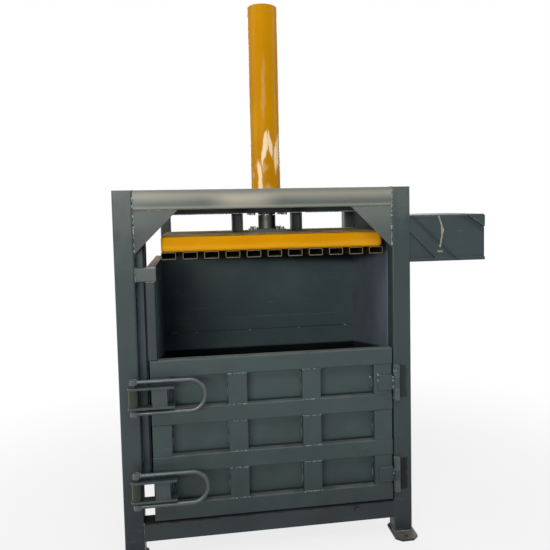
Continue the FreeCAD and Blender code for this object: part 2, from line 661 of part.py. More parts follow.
def platen():
    """The pressing plate: beams, top plate, inner plates, stop posts and the tubes under it."""
    inner = ("platen_front + platen_bar", "platen_back - platen_bar")
    side = "platen_width / 2 - platen_bar"
    platen_beam("platen_front_beam", ("platen_front", "platen_front + platen_bar"), "platen_front")
    platen_beam("platen_rear_beam", ("platen_back - platen_bar", "platen_back"), "platen_back")
    plate_low = "platen_top - platen_sheet"
    sides = ((f"-platen_width / 2", f"-({side})"), (side, "platen_width / 2"))
    node("platen_side_beams", group("PlatenSides", *(
        hollow_tube("PlatenSide", "y", across, inner, ("platen_bottom", plate_low)) for across in sides)))
    node("platen_top_plate", block("PlatenTop", ("-platen_width / 2", "platen_width / 2"), inner,
                                   (plate_low, "platen_top")))
    deck = "platen_bottom + wall_sheet"
    inside = (f"-({side})", side)
    ribs = [block("PlatenRib",
                  (f"{way} * rib_offset - platen_sheet / 2", f"{way} * rib_offset + platen_sheet / 2"),
                  inner, (deck, plate_low)) for way in (-1, 1)]
    bottom = block("PlatenDeck", inside, inner, ("platen_bottom", deck))
    node("platen_inner_plates", group("PlatenInner", bottom, *ribs))
    node("platen_posts", group("PlatenPosts", *(stop_post(f"{way} * post_offset") for way in (-1, 1))))
    pitch = "(platen_width - foot_tube_width) / (foot_tubes - 1)"
    tubes = []
    for index in range(int(number("foot_tubes"))):
        start = f"-platen_width / 2 + {index} * {pitch}"
        tubes.append(hollow_tube("FootTube", "y", (start, f"{start} + foot_tube_width"),
                                 ("platen_front", "platen_back"), ("tube_bottom", "platen_bottom"),
                                 wall="foot_tube_wall", rounding="foot_tube_round"))
    node("platen_tubes", group("FootTubes", *tubes))


# ---------------------------------------------------------------- door, hinges and latches

def door():
    """Back sheet, full-width rails and the short uprights welded between them."""
    depth = ("0", "door_tube")
    node("door_skin", block("DoorSkin", ("door_left", "door_right"), ("door_tube", "door_back"),
                            ("door_bottom", "door_top")))
    rows, columns_across = int(number("panel_rows")), int(number("panel_columns"))
    rise = "(door_height - rail_height) / panel_rows"
    step = "(door_width - upright_width) / panel_columns"
    rails, uprights = [], []
    for row in range(rows + 1):
        low = f"door_bottom + {row} * {rise}"
        rails.append(hollow_tube("DoorRail", "x", ("door_left", "door_right"), depth,
                                 (low, f"{low} + rail_height"), wall="door_tube_wall", rounding="door_round",
                                 close=("door_tube_wall", "")))
        if row == rows:
            break
        for column in range(columns_across + 1):
            start = f"door_left + {column} * {step}"
            uprights.append(hollow_tube("Upright", "z", (start, f"{start} + upright_width"), depth,
                                        (f"{low} + rail_height", f"door_bottom + {row + 1} * {rise}"),
                                        wall="door_tube_wall", rounding="door_round"))
    node("door_rails", group("DoorRails", *rails))
    node("door_uprights", group("DoorUprights", *uprights))


def hinges():
    """Two barrel hinges: a door leaf with its knuckle, two column knuckles and a headed pin each."""
    axis = ("hinge_x", "-hinge_standoff")
    bore = "pin_radius + running_gap"
    leaves, knuckles, pins = [], [], []
    for hinge in ("upper_hinge", "lower_hinge"):
        middle = (f"{hinge} - knuckle_height / 2", f"{hinge} + knuckle_height / 2")
        ends = ((f"{middle[0]} - knuckle_height - knuckle_gap", f"{middle[0]} - knuckle_gap"),
                (f"{middle[1]} + knuckle_gap", f"{middle[1]} + knuckle_height + knuckle_gap"))
        low, high = ends[0][0], ends[1][1]
        drill = bar("HingeDrill", "z", axis, bore, (f"{low} - 1", f"{high} + 1"))
        leaf = block("Leaf", ("door_right - leaf_reach", "door_right"), ("-leaf_thick", "0"),
                     (f"{hinge} - leaf_height / 2", f"{hinge} + leaf_height / 2"))
        neck = block("LeafNeck", ("door_right", "hinge_x"), ("-leaf_thick", "0"), middle)
        knuckle = bar("Knuckle", "z", axis, "knuckle_radius", middle)
        leaves.append(cut("DoorLeaf", fuse("LeafBlank", leaf, neck, knuckle), drill))
        for span in ends:
            foot = block("KnuckleFoot", ("hinge_x - 8", "hinge_x + 8"), ("-8", "0"), span)
            blank = fuse("KnuckleBlank", foot, bar("EndKnuckle", "z", axis, "knuckle_radius", span))
            knuckles.append(cut("ColumnKnuckle", blank, drill))
        pins.append(fuse("Pin", bar("PinShank", "z", axis, "pin_radius", (low, high)),
                         bar("PinHead", "z", axis, "pin_head", (high, f"{high} + pin_head_height"))))
    node("hinge_door_leaves", group("DoorLeaves", *leaves))
    node("hinge_column_knuckles", group("ColumnKnuckles", *knuckles))
    node("hinge_pins", group("HingePins", *pins))


def clevis(latch):
    """The door's latch bracket: two nosed plates and the spacer block between them."""
    tip = "latch_x - clevis_nose"
    front, back = "latch_front", "-(latch_standoff - clevis_nose)"
    end = "latch_x + clevis_reach"
    root = "door_left + pin_head / 5"
    plates = []
    for low in (f"{latch} - clevis_half", f"{latch} + clevis_half - clevis_plate"):
        plate = body("ClevisPlate")
        base = pad(plate, "ClevisPad", "XY",
                   [(end, "0"), (end, front), (tip, front), (tip, back), (root, back), (root, "0")],
                   (low, f"{low} + clevis_plate"))
        nose = edges_along(base.Shape, "z", lambda point: abs(point.x - number(tip)) < 1)
        round_edges(plate, base, "ClevisNose", nose, "clevis_nose - 1")
        plates.append(plate)
    spacer = block("ClevisBlock", ("latch_x + block_start", "latch_x + block_start + block_width"),
                   ("-block_depth", "0"),
                   (f"{latch} - clevis_half + clevis_plate", f"{latch} + clevis_half - clevis_plate"))
    drill = bar("ClevisDrill", "z", ("latch_x", "-latch_standoff"), "shaft_radius + running_gap",
                (f"{latch} - clevis_half - 1", f"{latch} + clevis_half + 1"))
    return cut("Clevis", fuse("ClevisBlank", *plates, spacer), drill)


def latch_cam(latch):
    """The turning cam: shaft, hub and the hooked jaw that bites behind the column's window."""
    axis = ("latch_x", "-latch_standoff")
    tall = (f"{latch} - jaw_half", f"{latch} + jaw_half")
    reach = "-latch_standoff + jaw_length"
    shaft = bar("CamShaft", "z", axis, "shaft_radius", (f"{latch} - shaft_half", f"{latch} + shaft_half"))
    hub = bar("CamHub", "z", axis, "cam_radius", (f"{latch} - clevis_half + clevis_plate + cam_gap",
                                                  f"{latch} + clevis_half - clevis_plate - cam_gap"))
    arm = block("JawArm", ("latch_x - jaw_arm / 2", "latch_x + jaw_arm / 2"),
                ("-latch_standoff", reach), tall)
    nose = block("JawNose", ("latch_x - jaw_arm / 2 - jaw_bite", "latch_x - jaw_arm / 2"),
                 (f"{reach} - jaw_nose", reach), tall)
    return fuse("Cam", shaft, hub, arm, nose)


def latch_grip(latch):
    """The U-handle of round bar, its two eyes welded to the ends of the cam's shaft."""
    axis = ("latch_x", "-latch_standoff")
    bend = "latch_x + grip_length"
    pieces = []
    for way in (-1, 1):
        level = f"{latch} + {way} * grip_half"
        pieces.append(bar("GripEye", "z", axis, "eye_radius",
                          (f"{level} - eye_half", f"{level} + eye_half")))
        pieces.append(bar("GripArm", "x", ("-latch_standoff", level), "grip_radius",
                          ("latch_x + shaft_radius + 2", bend)))
    turn = DOC.addObject("Part::Torus", "GripBend")
    turn.Angle3 = 180
    turn.Placement = FreeCAD.Placement(FreeCAD.Vector(), FreeCAD.Rotation(
        FreeCAD.Vector(0, 0, 1), FreeCAD.Vector(1, 0, 0), FreeCAD.Vector(0, 1, 0), "ZXY"))
    bind(turn, "Radius1", "grip_half")
    bind(turn, "Radius2", "grip_radius")
    for axis_name, text in zip("xyz", (bend, "-latch_standoff", latch)):
        bind(turn, f"Placement.Base.{axis_name}", f"({text}) + {ORIGIN[axis_name]}")
    drill = bar("GripDrill", "z", axis, "shaft_radius",
                (f"{latch} - shaft_half - 1", f"{latch} + shaft_half + 1"))
    return cut("Grip", fuse("GripBlank", *pieces, turn), drill)


def latches():
    """Both door latches."""
    pair = ("upper_latch", "lower_latch")
    node("latch_brackets", group("LatchBrackets", *(clevis(latch) for latch in pair)))
    for latch in pair:
        node(f"{latch}_cam", latch_cam(latch))
        node(f"{latch}_handle", latch_grip(latch))


# ---------------------------------------------------------------- build and export

def check():
    """Stop if any object failed or any sub-part is empty or faulty."""
    for item in DOC.Objects:
        if "Invalid" in item.State or "Error" in item.State:
            raise RuntimeError(f"{item.Name} failed: {item.State}")
    for item in NODES:
        if item.Shape.isNull() or not item.Shape.isValid():
            raise RuntimeError(f"{item.Label} has no valid shape")


def export():
    """Write each sub-part to its own file."""
    os.makedirs("parts", exist_ok=True)
    for item in NODES:
        item.Shape.exportStep(f"parts/{item.Label}.step")


def main():
    """Build the machine from the sheet, check it and write it out."""
    fill_sheet()
    for build in (columns, beams, gussets, feet, walls, left_jamb, back_wall, floor, side_tank, cylinder,
                  cylinder_mount, piston_and_rod, platen, door, hinges, latches):
        build()
    DOC.recompute()
    check()
    export()
    volume = sum(item.Shape.Volume for item in NODES) / 1e9
    print(f"{len(NODES)} sub-parts, {volume:.4f} cubic metres of solid")


main()
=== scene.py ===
"""Dressed model of a small upright baling press.

A welded steel frame carries an open-fronted chamber, a bale door with two U-handle latches, a yellow
pressing plate on a vertical cylinder and a closed tank at the right column. Sizes are in millimetres in the
machine's own reference: X from the chamber's middle, Y from the column fronts, Z from the floor. Materials
measure in metres in the part's frame.
"""

import logging
import math
import random
from dataclasses import dataclass
from enum import Enum
from typing import Any, ClassVar, Iterable, Sequence

import bmesh
import bpy
from mathutils import Matrix, Vector


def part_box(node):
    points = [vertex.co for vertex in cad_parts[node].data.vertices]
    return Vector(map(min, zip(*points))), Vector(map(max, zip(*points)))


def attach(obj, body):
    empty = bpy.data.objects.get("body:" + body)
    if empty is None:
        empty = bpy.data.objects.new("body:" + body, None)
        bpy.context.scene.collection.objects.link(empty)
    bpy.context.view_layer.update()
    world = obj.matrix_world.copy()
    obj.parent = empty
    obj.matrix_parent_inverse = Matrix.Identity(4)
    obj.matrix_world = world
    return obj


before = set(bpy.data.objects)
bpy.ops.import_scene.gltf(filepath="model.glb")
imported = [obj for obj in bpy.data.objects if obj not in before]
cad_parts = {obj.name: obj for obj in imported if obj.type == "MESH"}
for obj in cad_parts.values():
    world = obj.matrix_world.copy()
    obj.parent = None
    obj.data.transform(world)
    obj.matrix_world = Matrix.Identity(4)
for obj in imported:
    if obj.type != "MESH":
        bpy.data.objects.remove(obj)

LOG = logging.getLogger("baling_press")
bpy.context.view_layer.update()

Point = tuple[float, float, float]
Colour = tuple[float, float, float, float]
Socket = bpy.types.NodeSocket
Tree = bpy.types.NodeTree
MM = 0.001
WHITE: Colour = (1.0, 1.0, 1.0, 1.0)
# From the machine's reference to the part's frame, in millimetres.
ORIGIN_SHIFT = Vector((-127.0, -389.0, 0.0))
# Heights between which the painted shade near the floor thins out and the painted light near the top sets in,
# in metres.
FOOT_SHADE = (0.62, 0.02)
CROWN_LIGHT = (1.28, 1.56)
# Radii at which the paint's edges are eased and rubbed thin.
EASED_EDGE = 2.5 * MM
RUBBED_EDGE = 3.5 * MM
BEVEL_SAMPLES = 4
# How much rougher a face is where dust covers it.
DUST_DULLNESS = 0.5


# ---------------------------------------------------------------- places and colours

def at(x: float, y: float, z: float) -> Vector:
    """Return a point of the machine's reference, in millimetres, as metres in the part's frame."""
    return (Vector((x, y, z)) + ORIGIN_SHIFT) * MM


def linear(hex_code: str) -> Colour:
    """Turn an sRGB hex colour to linear RGBA.

    Args:
        hex_code: Six hex digits.

    Returns:
        Linear red, green and blue with an alpha of 1.
    """
    channels = []
    for start in (0, 2, 4):
        value = int(hex_code[start:start + 2], 16) / 255
        channels.append(value / 12.92 if value <= 0.04045 else ((value + 0.055) / 1.055) ** 2.4)
    return (*channels, 1.0)


def per_metre(size_mm: float) -> float:
    """Return how many features of a size fit in a metre, which is the scale of their pattern."""
    return 1000 / size_mm


# ---------------------------------------------------------------- shader nodes

def add_node(tree: Tree, kind: str, inputs: dict[Any, Any] | None = None, **settings: Any) -> bpy.types.Node:
    """Add one shader node with its settings, values and links.

    Args:
        tree: The material's or world's node tree.
        kind: The node's class name.
        inputs: Socket name or index to a plain value, or to a Value or output socket to link from.
        **settings: Properties of the node itself.

    Returns:
        The new node.
    """
    node = tree.nodes.new(kind)
    for name, value in settings.items():
        setattr(node, name, value)
    for socket, value in (inputs or {}).items():
        source = value.socket if isinstance(value, Value) else value
        if isinstance(source, bpy.types.NodeSocket):
            tree.links.new(source, node.inputs[socket])
        else:
            node.inputs[socket].default_value = source
    return node


class Step(Enum):
    """A step that a value goes through: the node's class, its inputs in order, its output, its settings."""

    SUM = ("ShaderNodeMath", (0, 1), 0, {"operation": "ADD"})
    PRODUCT = ("ShaderNodeMath", (0, 1), 0, {"operation": "MULTIPLY"})
    SIZE = ("ShaderNodeMath", (0,), 0, {"operation": "ABSOLUTE"})
    LARGER = ("ShaderNodeMath", (0, 1), 0, {"operation": "MAXIMUM"})
    CLAMP = ("ShaderNodeClamp", ("Value", "Min", "Max"), 0, {})
    # Maps the first range smoothly to the second, or to 0..1, and holds the value outside it.
    RAMP = ("ShaderNodeMapRange", ("Value", "From Min", "From Max", "To Min", "To Max"), "Result",
            {"interpolation_type": "SMOOTHSTEP"})
    LENGTH = ("ShaderNodeVectorMath", (0,), "Value", {"operation": "LENGTH"})
    ALIKE = ("ShaderNodeVectorMath", (0, 1), "Value", {"operation": "DOT_PRODUCT"})
    STRETCH = ("ShaderNodeMapping", ("Vector", "Scale"), "Vector", {})
    NOISE = ("ShaderNodeTexNoise", ("Vector", "Scale", "Detail", "Distortion"), "Fac", {})
    BUMP = ("ShaderNodeBump", ("Height", "Strength", "Distance", "Normal"), "Normal", {})
    BLEND = ("ShaderNodeMix", ("Factor", 6, 7), 2, {"data_type": "RGBA"})


@dataclass(frozen=True)
class Value:
    """What a node gives out at each point, with the arithmetic that masks are written in."""

    tree: Tree
    socket: Socket

    def through(self, step: Step, *others: Any) -> "Value":
        """Send the value through one step.

        Args:
            step: The step.
            *others: The step's other inputs, in order. Those left out keep the node's own values.

        Returns:
            What comes out.
        """
        kind, sockets, output, settings = step.value
        node = add_node(self.tree, kind, dict(zip(sockets, (self, *others))), **settings)
        return Value(self.tree, node.outputs[output])

    def __add__(self, other: "Value | float") -> "Value":
        """Return the sum."""
        return self.through(Step.SUM, other)

    def __sub__(self, number: float) -> "Value":
        """Return the value less a plain number."""
        return self.through(Step.SUM, -number)

    def __mul__(self, other: "Value | float") -> "Value":
        """Return the product."""
        return self.through(Step.PRODUCT, other)

    def __abs__(self) -> "Value":
        """Return the value without its sign."""
        return self.through(Step.SIZE)

    def tint(self, base: "Value | Colour", hex_code: str) -> "Value":
        """Return the base colour, covered with another by this share."""
        return self.through(Step.BLEND, base, linear(hex_code))


def object_place(tree: Tree) -> Value:
    """Return where a point lies on its piece, in metres."""
    return Value(tree, add_node(tree, "ShaderNodeTexCoord").outputs["Object"])


def fresh_material(name: str) -> bpy.types.Material:
    """Make a material with an empty node tree.

    Args:
        name: The material's name.

    Returns:
        The material.
    """
    material = bpy.data.materials.new(name)
    material.use_nodes = True
    material.node_tree.nodes.clear()
    return material


def surfaced(material: bpy.types.Material, inputs: dict[str, Any]) -> bpy.types.Material:
    """Give a material its shader.

    Args:
        material: The material, with its patterns laid.
        inputs: The shader's inputs.

    Returns:
        The finished material.
    """
    shader = add_node(material.node_tree, "ShaderNodeBsdfPrincipled", inputs)
    add_node(material.node_tree, "ShaderNodeOutputMaterial", {"Surface": shader.outputs["BSDF"]})
    return material


# ---------------------------------------------------------------- marks of use, and painted light and shade
#
# Each mark is measured from the box of the piece that it lies on, or in the part's frame, always in metres.
# A ramp's first pair of numbers says where the mark begins and is full, and its last the strength there.

class Mark(Enum):
    """The mark on one kind of piece, left by use or spraying or painted as light and shade, by the method of
    Skin that finds it.
    """

    NONE = ""
    TUBE_ENDS = "tube_ends"
    BEAM_FACE = "faded_face"
    BALE_GRIME = "bale_grime"
    BARREL_HAZE = "barrel_haze"
    FRONT_DUST = "front_dust"
    ROLLED_SHEEN = "sheen_line"
    FADED_TOP = "faded_top"
    SEAM_SHADE = "seam_shade"
    RECESS_GRIME = "recess_grime"
    RIB_GRIME = "rib_grime"
    HINGE_OIL = "hinge_oil"
    SILL_SOOT = "sill_soot"
    OIL_MIST = "oil_mist"


@dataclass(frozen=True)
class Flame:
    """A painted streak of reflected light on the barrel, in metres: head and foot as (x, z), half its width,
    and its strength.
    """

    head: tuple[float, float]
    foot: tuple[float, float]
    half: float
    share: float


REFLECTION_STREAKS = (
    Flame((-0.124, 1.795), (-0.150, 1.622), 0.015, 1.0),
    Flame((-0.118, 1.795), (-0.103, 1.652), 0.0115, 0.9),
    Flame((-0.074, 1.785), (-0.088, 1.580), 0.0115, 0.9),
    Flame((-0.067, 1.800), (-0.062, 1.650), 0.008, 0.6),
    Flame((-0.164, 1.665), (-0.154, 1.435), 0.0115, 0.95),
    Flame((-0.191, 1.680), (-0.190, 1.450), 0.006, 0.7),
    Flame((-0.150, 1.660), (-0.150, 1.585), 0.034, 0.3),
    Flame((-0.124, 1.560), (-0.126, 1.465), 0.034, 0.25),
    Flame((-0.134, 2.150), (-0.138, 1.800), 0.014, 0.14))


class Skin:
    """A painted surface on its piece's own coordinates, which finds where each mark lies on it."""

    def __init__(self, tree: Tree) -> None:
        """Lay the coordinates.

        Args:
            tree: The paint's node tree.
        """
        texture = add_node(tree, "ShaderNodeTexCoord")
        self.tree = tree
        self.place = Value(tree, texture.outputs["Object"])
        split = add_node(tree, "ShaderNodeSeparateXYZ", {"Vector": self.place})
        self.x, self.y, self.z = (Value(tree, split.outputs[axis]) for axis in "XYZ")
        facing = add_node(tree, "ShaderNodeSeparateXYZ", {"Vector": texture.outputs["Normal"]})
        self.upward = Value(tree, facing.outputs["Z"])

    def marked(self, mark: Mark) -> Value:
        """Return the mask of a mark."""
        return getattr(self, mark.value)()

    def waver(self, size_mm: float, reach: float, detail: float = 2.0) -> Value:
        """Make a drift that bends a straight line.

        Args:
            size_mm: How long the bends are, in millimetres.
            reach: How far they leave the line, in metres.
            detail: How many layers of finer bends are in them.

        Returns:
            The drift, to be added to a coordinate.
        """
        bends = self.place.through(Step.NOISE, per_metre(size_mm), detail)
        return bends.through(Step.RAMP, 0.3, 0.7, -reach, reach)

    def tube_ends(self) -> Value:
        """Find the sawn front and back ends of the tubes.

        Returns:
            A mask of the ends, rubbed pale.
        """
        low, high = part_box("platen_tubes")
        half = (high.y - low.y) / 2
        return abs(self.y - (low.y + high.y) / 2).through(Step.RAMP, half - 0.0014, half - 0.0004)

    def faded_face(self) -> Value:
        """Find the painted highlights on the top beam: a pale band over its upper two thirds, a pale lip
        along its bottom edge and a glare left of its middle.

        Returns:
            A mask that is strongest left of the beam's middle.
        """
        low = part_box("front_top_beam")[0].z
        sagging = self.z + self.waver(420.0, 0.005, 1.0)
        upper = (sagging.through(Step.RAMP, low + 0.022, low + 0.062, 0.0, 0.5)
                 * self.z.through(Step.RAMP, low + 0.080, low + 0.056, 0.25, 1.0))
        lip = self.z.through(Step.RAMP, low + 0.018, low + 0.006, 0.0, 0.34)
        glare = (abs(self.x + 0.254).through(Step.RAMP, 0.17, 0.03, 0.0, 0.6)
                 * abs(self.z - (low + 0.032)).through(Step.RAMP, 0.036, 0.006))
        return upper + lip + glare

    def bale_grime(self) -> Value:
        """Find the painted shadows inside the chamber.

        Returns:
            A mask of the inner faces: painted shadow of the door's top edge below a line that climbs to the
                door's top, and painted shadow of the platen along the top of the walls.
        """
        fall_inward, fall_sideways = 0.157, 0.0455  # of the lines, in metres to a metre
        climbing = self.z + self.y * fall_inward
        low_down = climbing.through(Step.RAMP, 0.772, 0.762, 0.0, 0.96)
        tilted = climbing + self.x * fall_sideways
        shadowed = low_down + tilted.through(Step.RAMP, 1.195, 1.235, 0.0, 0.88)
        inside_walls = abs(self.x - ORIGIN_SHIFT.x * MM).through(Step.RAMP, 0.4985, 0.4975)
        inside_back = self.y.through(Step.RAMP, 0.3140, 0.3125)
        return shadowed * inside_walls * inside_back

    def barrel_haze(self) -> Value:
        """Find the painted reflection streaks on the front of the barrel.

        Returns:
            A mask of all of them.
        """
        drift = self.place.through(Step.STRETCH, (1.0, 1.0, 0.3)).through(Step.NOISE, per_metre(18.0), 4.0)
        wavering = self.x + drift.through(Step.RAMP, 0.3, 0.7, -0.0045, 0.0045)
        glints, *others = (self.streak(wavering, flame) for flame in REFLECTION_STREAKS)
        for other in others:
            glints = glints.through(Step.LARGER, other)
        return glints * self.y.through(Step.RAMP, -0.055, -0.080)

    def streak(self, wavering: Value, flame: Flame) -> Value:
        """Find one streak, widest at its middle and pointed at its ends.

        Args:
            wavering: The place across the barrel, with the streaks' waver in it.
            flame: The streak's measures.

        Returns:
            Its mask.
        """
        (head_x, head_z), (foot_x, foot_z) = flame.head, flame.foot
        lean = (head_x - foot_x) / (head_z - foot_z)
        off_line = abs(wavering + self.z * -lean - (head_x - lean * head_z))
        middle, reach = (head_z + foot_z) / 2, (head_z - foot_z) / 2
        along = abs(self.z - middle) * (1 / reach)
        spread = off_line * (1 / flame.half) + along * along
        return spread.through(Step.RAMP, 1.1, 0.6 * flame.share, 0.0, flame.share)

    def front_dust(self) -> Value:
        """Find the tan dust swept to the plate's front edge.

        Returns:
            A mask of the strip where it gathers.
        """
        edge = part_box("platen_front_beam")[0].y
        ragged = self.y + self.waver(60.0, 0.035, 3.0)
        return ragged.through(Step.RAMP, edge + 0.16, edge + 0.04, 0.0, 0.85)

    def sheen_line(self) -> Value:
        """Find the painted highlight low on the platen's front beam.

        Returns:
            A mask of the highlight line and of the painted light on the beam's right end.
        """
        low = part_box("platen_front_beam")[0].z
        uneven = self.z + self.waver(180.0, 0.004)
        line = abs(uneven - (low + 0.019)).through(Step.RAMP, 0.018, 0.003, 0.0, 0.5)
        return line + self.x.through(Step.RAMP, 0.16, 0.31, 0.0, 0.5)

    def faded_top(self) -> Value:
        """Return the painted light on the gussets, most at their top and to the right."""
        rising = self.z.through(Step.RAMP, 1.32, 1.42, 0.0, 0.5)
        return rising + self.x.through(Step.RAMP, -0.3, 0.1, 0.0, 0.46)

    def seam_shade(self) -> Value:
        """Return the painted shade along the line where the strip meets the stile."""
        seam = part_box("jamb_stile")[0].x - 0.004
        return abs(self.x - seam).through(Step.RAMP, 0.0095, 0.0050, 0.0, 0.92)

    def recess_grime(self) -> Value:
        """Find the painted shade in the door's recesses.

        Returns:
            A mask of the strip over each rail and of each recess's left corner.
        """
        low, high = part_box("door_rails")
        rail, upright, recesses = 0.070, 0.080, 3  # metres, and the count each way
        rise = (high.z - low.z - rail) / recesses
        step = (high.x - low.x - upright) / recesses
        first, second, third = (
            abs(self.z - (low.z + index * rise + rail)).through(Step.RAMP, 0.010, 0.005, 0.0, 0.8)
            + abs(self.x - (low.x + index * step + upright)).through(Step.RAMP, 0.045, 0.008, 0.0, 0.38)
            for index in range(recesses))
        return (first + second + third).through(Step.CLAMP, 0.0, 0.8)

    def oil_mist(self) -> Value:
        """Find the painted shade on what stands round the cylinder, under the top beams.

        Returns:
            A mask of all up to the rear beam's inner face, thinner on top of the mounting plate.
        """
        face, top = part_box("rear_top_beam")[0].y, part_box("cylinder_mounting_plate")[1].z
        return (self.y.through(Step.RAMP, face + 0.003, face + 0.001, 0.0, 0.85)
                * abs(self.z - top).through(Step.RAMP, 0.0002, 0.0008, 0.35, 1.0))

    def sill_soot(self) -> Value:
        """Find the painted shade along the sill's upper edge, in the gap under the door.

        Returns:
            A mask of the strip under the door.
        """
        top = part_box("front_sill")[1].z
        uneven = self.z + self.waver(50.0, 0.002)
        return uneven.through(Step.RAMP, top - 0.009, top - 0.005, 0.0, 0.95)

    def hinge_oil(self) -> Value:
        """Find the painted shadow of the hinges on the column.

        Returns:
            A mask of the patches beside both hinges, the lower one the darker.
        """
        low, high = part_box("hinge_column_knuckles")
        half = 0.0715  # of one hinge's height, in metres
        upper, lower = (
            abs(self.z - middle).through(Step.RAMP, half + 0.002, half - 0.004, 0.0, share)
            for middle, share in ((high.z - half, 0.72), (low.z + half, 0.97)))
        wavy = self.x + self.waver(60.0, 0.004)
        across = abs(wavy - (high.x + 0.010)).through(Step.RAMP, 0.030, 0.018)
        return (upper + lower) * across * self.y.through(Step.RAMP, -0.375, -0.383)

    def rib_grime(self) -> Value:
        """Find the painted shadow beside the tank's diagonal rib and under its corner plate's edge.

        Returns:
            A mask of both.
        """
        low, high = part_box("side_tank")
        rib_slope, plate_slope = 0.96, 0.66
        beside = abs(self.x * rib_slope + self.z - (rib_slope * low.x + high.z + 0.014))
        under = abs(self.x * plate_slope + self.z - (plate_slope * high.x + high.z - 0.064))
        return beside.through(Step.RAMP, 0.016, 0.004, 0.0, 0.5).through(
            Step.LARGER, under.through(Step.RAMP, 0.026, 0.010, 0.0, 0.45))


# ---------------------------------------------------------------- finishes

@dataclass(frozen=True)
class SprayedPaint:
    """Air-dried enamel sprayed over mill-scale steel: even satin with faint clouds and orange peel.

    Sizes ending in mm and depths are in millimetres. Foot and crown are the colours of the painted shade low
    down and of the painted light high up, where there is any.
    """

    name: str
    colour: str
    shade: str
    edge: str
    roughness: float = 0.42
    shine: float = 0.3
    cloud_mm: float = 260.0
    peel_mm: float = 5.0
    peel_depth: float = 0.05
    roll_mm: float = 220.0
    roll_depth: float = 0.6
    scuffs: float = 0.25
    edge_wear: float = 0.5
    foot: str = ""
    crown: str = ""
    # Colour on faces that look up: workshop dust, and on the brackets painted shadow.
    dust: str = "8F806C"
    dust_share: float = 0.35
    mark: Mark = Mark.NONE
    mark_colour: str = "808080"
    mark_dullness: float = 0.0

    def material(self) -> bpy.types.Material:
        """Build the paint's material.

        Returns:
            The material.
        """
        material = fresh_material(self.name)
        skin = Skin(material.node_tree)
        clouds = skin.place.through(Step.NOISE, per_metre(self.cloud_mm), 3.0)
        colour = clouds.through(Step.RAMP, 0.35, 0.65).tint(linear(self.colour), self.shade)
        lying = self.lying_dust(skin)
        colour = lying.tint(self.weathered(skin, colour), self.dust)
        colour = self.scuff_marks(skin).tint(colour, self.edge)
        rough = clouds.through(Step.RAMP, 0.3, 0.7, self.roughness - 0.07, self.roughness + 0.09)
        rough += lying * DUST_DULLNESS
        if self.mark is not Mark.NONE:
            mask = skin.marked(self.mark)
            colour = mask.tint(colour, self.mark_colour)
            rough += mask * self.mark_dullness
        return surfaced(material, {
            "Base Color": self.worn_edges(skin.tree).tint(colour, self.edge), "Roughness": rough,
            "Normal": self.relief(skin), "Specular IOR Level": self.shine})

    def weathered(self, skin: Skin, colour: Value) -> Value:
        """Darken a colour with painted shade low down and lighten it with painted light high up.

        Args:
            skin: The surface.
            colour: The clean colour.

        Returns:
            The colour, shaded by height.
        """
        level = skin.z + skin.waver(90.0, 0.06, 4.0)
        if self.foot:
            colour = level.through(Step.RAMP, *FOOT_SHADE, 0.0, 0.95).tint(colour, self.foot)
        if self.crown:
            colour = level.through(Step.RAMP, *CROWN_LIGHT, 0.0, 0.9).tint(colour, self.crown)
        return colour

    def lying_dust(self, skin: Skin) -> Value:
        """Find how thickly workshop dust lies on the faces that look up; on the brackets the same share lays
        painted shadow.

        Args:
            skin: The surface.

        Returns:
            The share of dust, and of painted shadow on the brackets.
        """
        patches = skin.place.through(Step.NOISE, per_metre(70.0), 5.0)
        return (skin.upward.through(Step.RAMP, 0.5, 0.95, 0.0, self.dust_share)
                * patches.through(Step.RAMP, 0.3, 0.65, 0.45, 1.0))

    def relief(self, skin: Skin) -> Value:
        """Raise the eased edges, the rolling of the sheet and the orange peel.

        Args:
            skin: The surface.

        Returns:
            The normal.
        """
        eased = add_node(skin.tree, "ShaderNodeBevel", {"Radius": EASED_EDGE}, samples=BEVEL_SAMPLES)
        rolling = skin.place.through(Step.NOISE, per_metre(self.roll_mm), 1.0)
        waved = rolling.through(Step.BUMP, 0.6, self.roll_depth * MM, eased.outputs["Normal"])
        peel = skin.place.through(Step.NOISE, per_metre(self.peel_mm))
        return peel.through(Step.BUMP, 0.5, self.peel_depth * MM, waved)

    def worn_edges(self, tree: Tree) -> Value:
        """Find the edges, where handling thins the paint.

        Args:
            tree: The paint's node tree.

        Returns:
            A mask along them.
        """
        eased = add_node(tree, "ShaderNodeBevel", {"Radius": RUBBED_EDGE}, samples=BEVEL_SAMPLES)
        flat = add_node(tree, "ShaderNodeNewGeometry")
        alike = Value(tree, eased.outputs["Normal"]).through(Step.ALIKE, flat.outputs["Normal"])
        return alike.through(Step.RAMP, 0.995, 0.80, 0.0, self.edge_wear)

    def scuff_marks(self, skin: Skin) -> Value:
        """Find the thin streaks that rubbing left.

        Args:
            skin: The surface.

        Returns:
            A mask of the streaks.
        """
        streaks = skin.place.through(Step.STRETCH, (5.0, 5.0, 26.0)).through(
            Step.NOISE, per_metre(450.0), 6.0, 0.6)
        return streaks.through(Step.RAMP, 0.62, 0.78, 0.0, self.scuffs)


@dataclass(frozen=True)
class BareMetal:
    """Bare or plated steel with the fine marks of its making."""

    name: str
    colour: str
    roughness: float
    grain_mm: float = 1.5
    stretch: Point = (1.0, 1.0, 1.0)
    stain: str = "6A6258"
    stain_share: float = 0.2

    def material(self) -> bpy.types.Material:
        """Build the metal's material.

        Returns:
            The material.
        """
        material = fresh_material(self.name)
        place = object_place(material.node_tree)
        grain = place.through(Step.STRETCH, self.stretch).through(Step.NOISE, per_metre(self.grain_mm), 3.0)
        blots = place.through(Step.NOISE, per_metre(36.0), 5.0)
        return surfaced(material, {
            "Base Color": blots.through(Step.RAMP, 0.5, 0.72, 0.0, self.stain_share).tint(
                linear(self.colour), self.stain),
            "Roughness": grain.through(Step.RAMP, 0.0, 1.0, self.roughness - 0.06, self.roughness + 0.1),
            "Metallic": 1.0, "Normal": grain.through(Step.BUMP, 0.25, 0.05 * MM)})


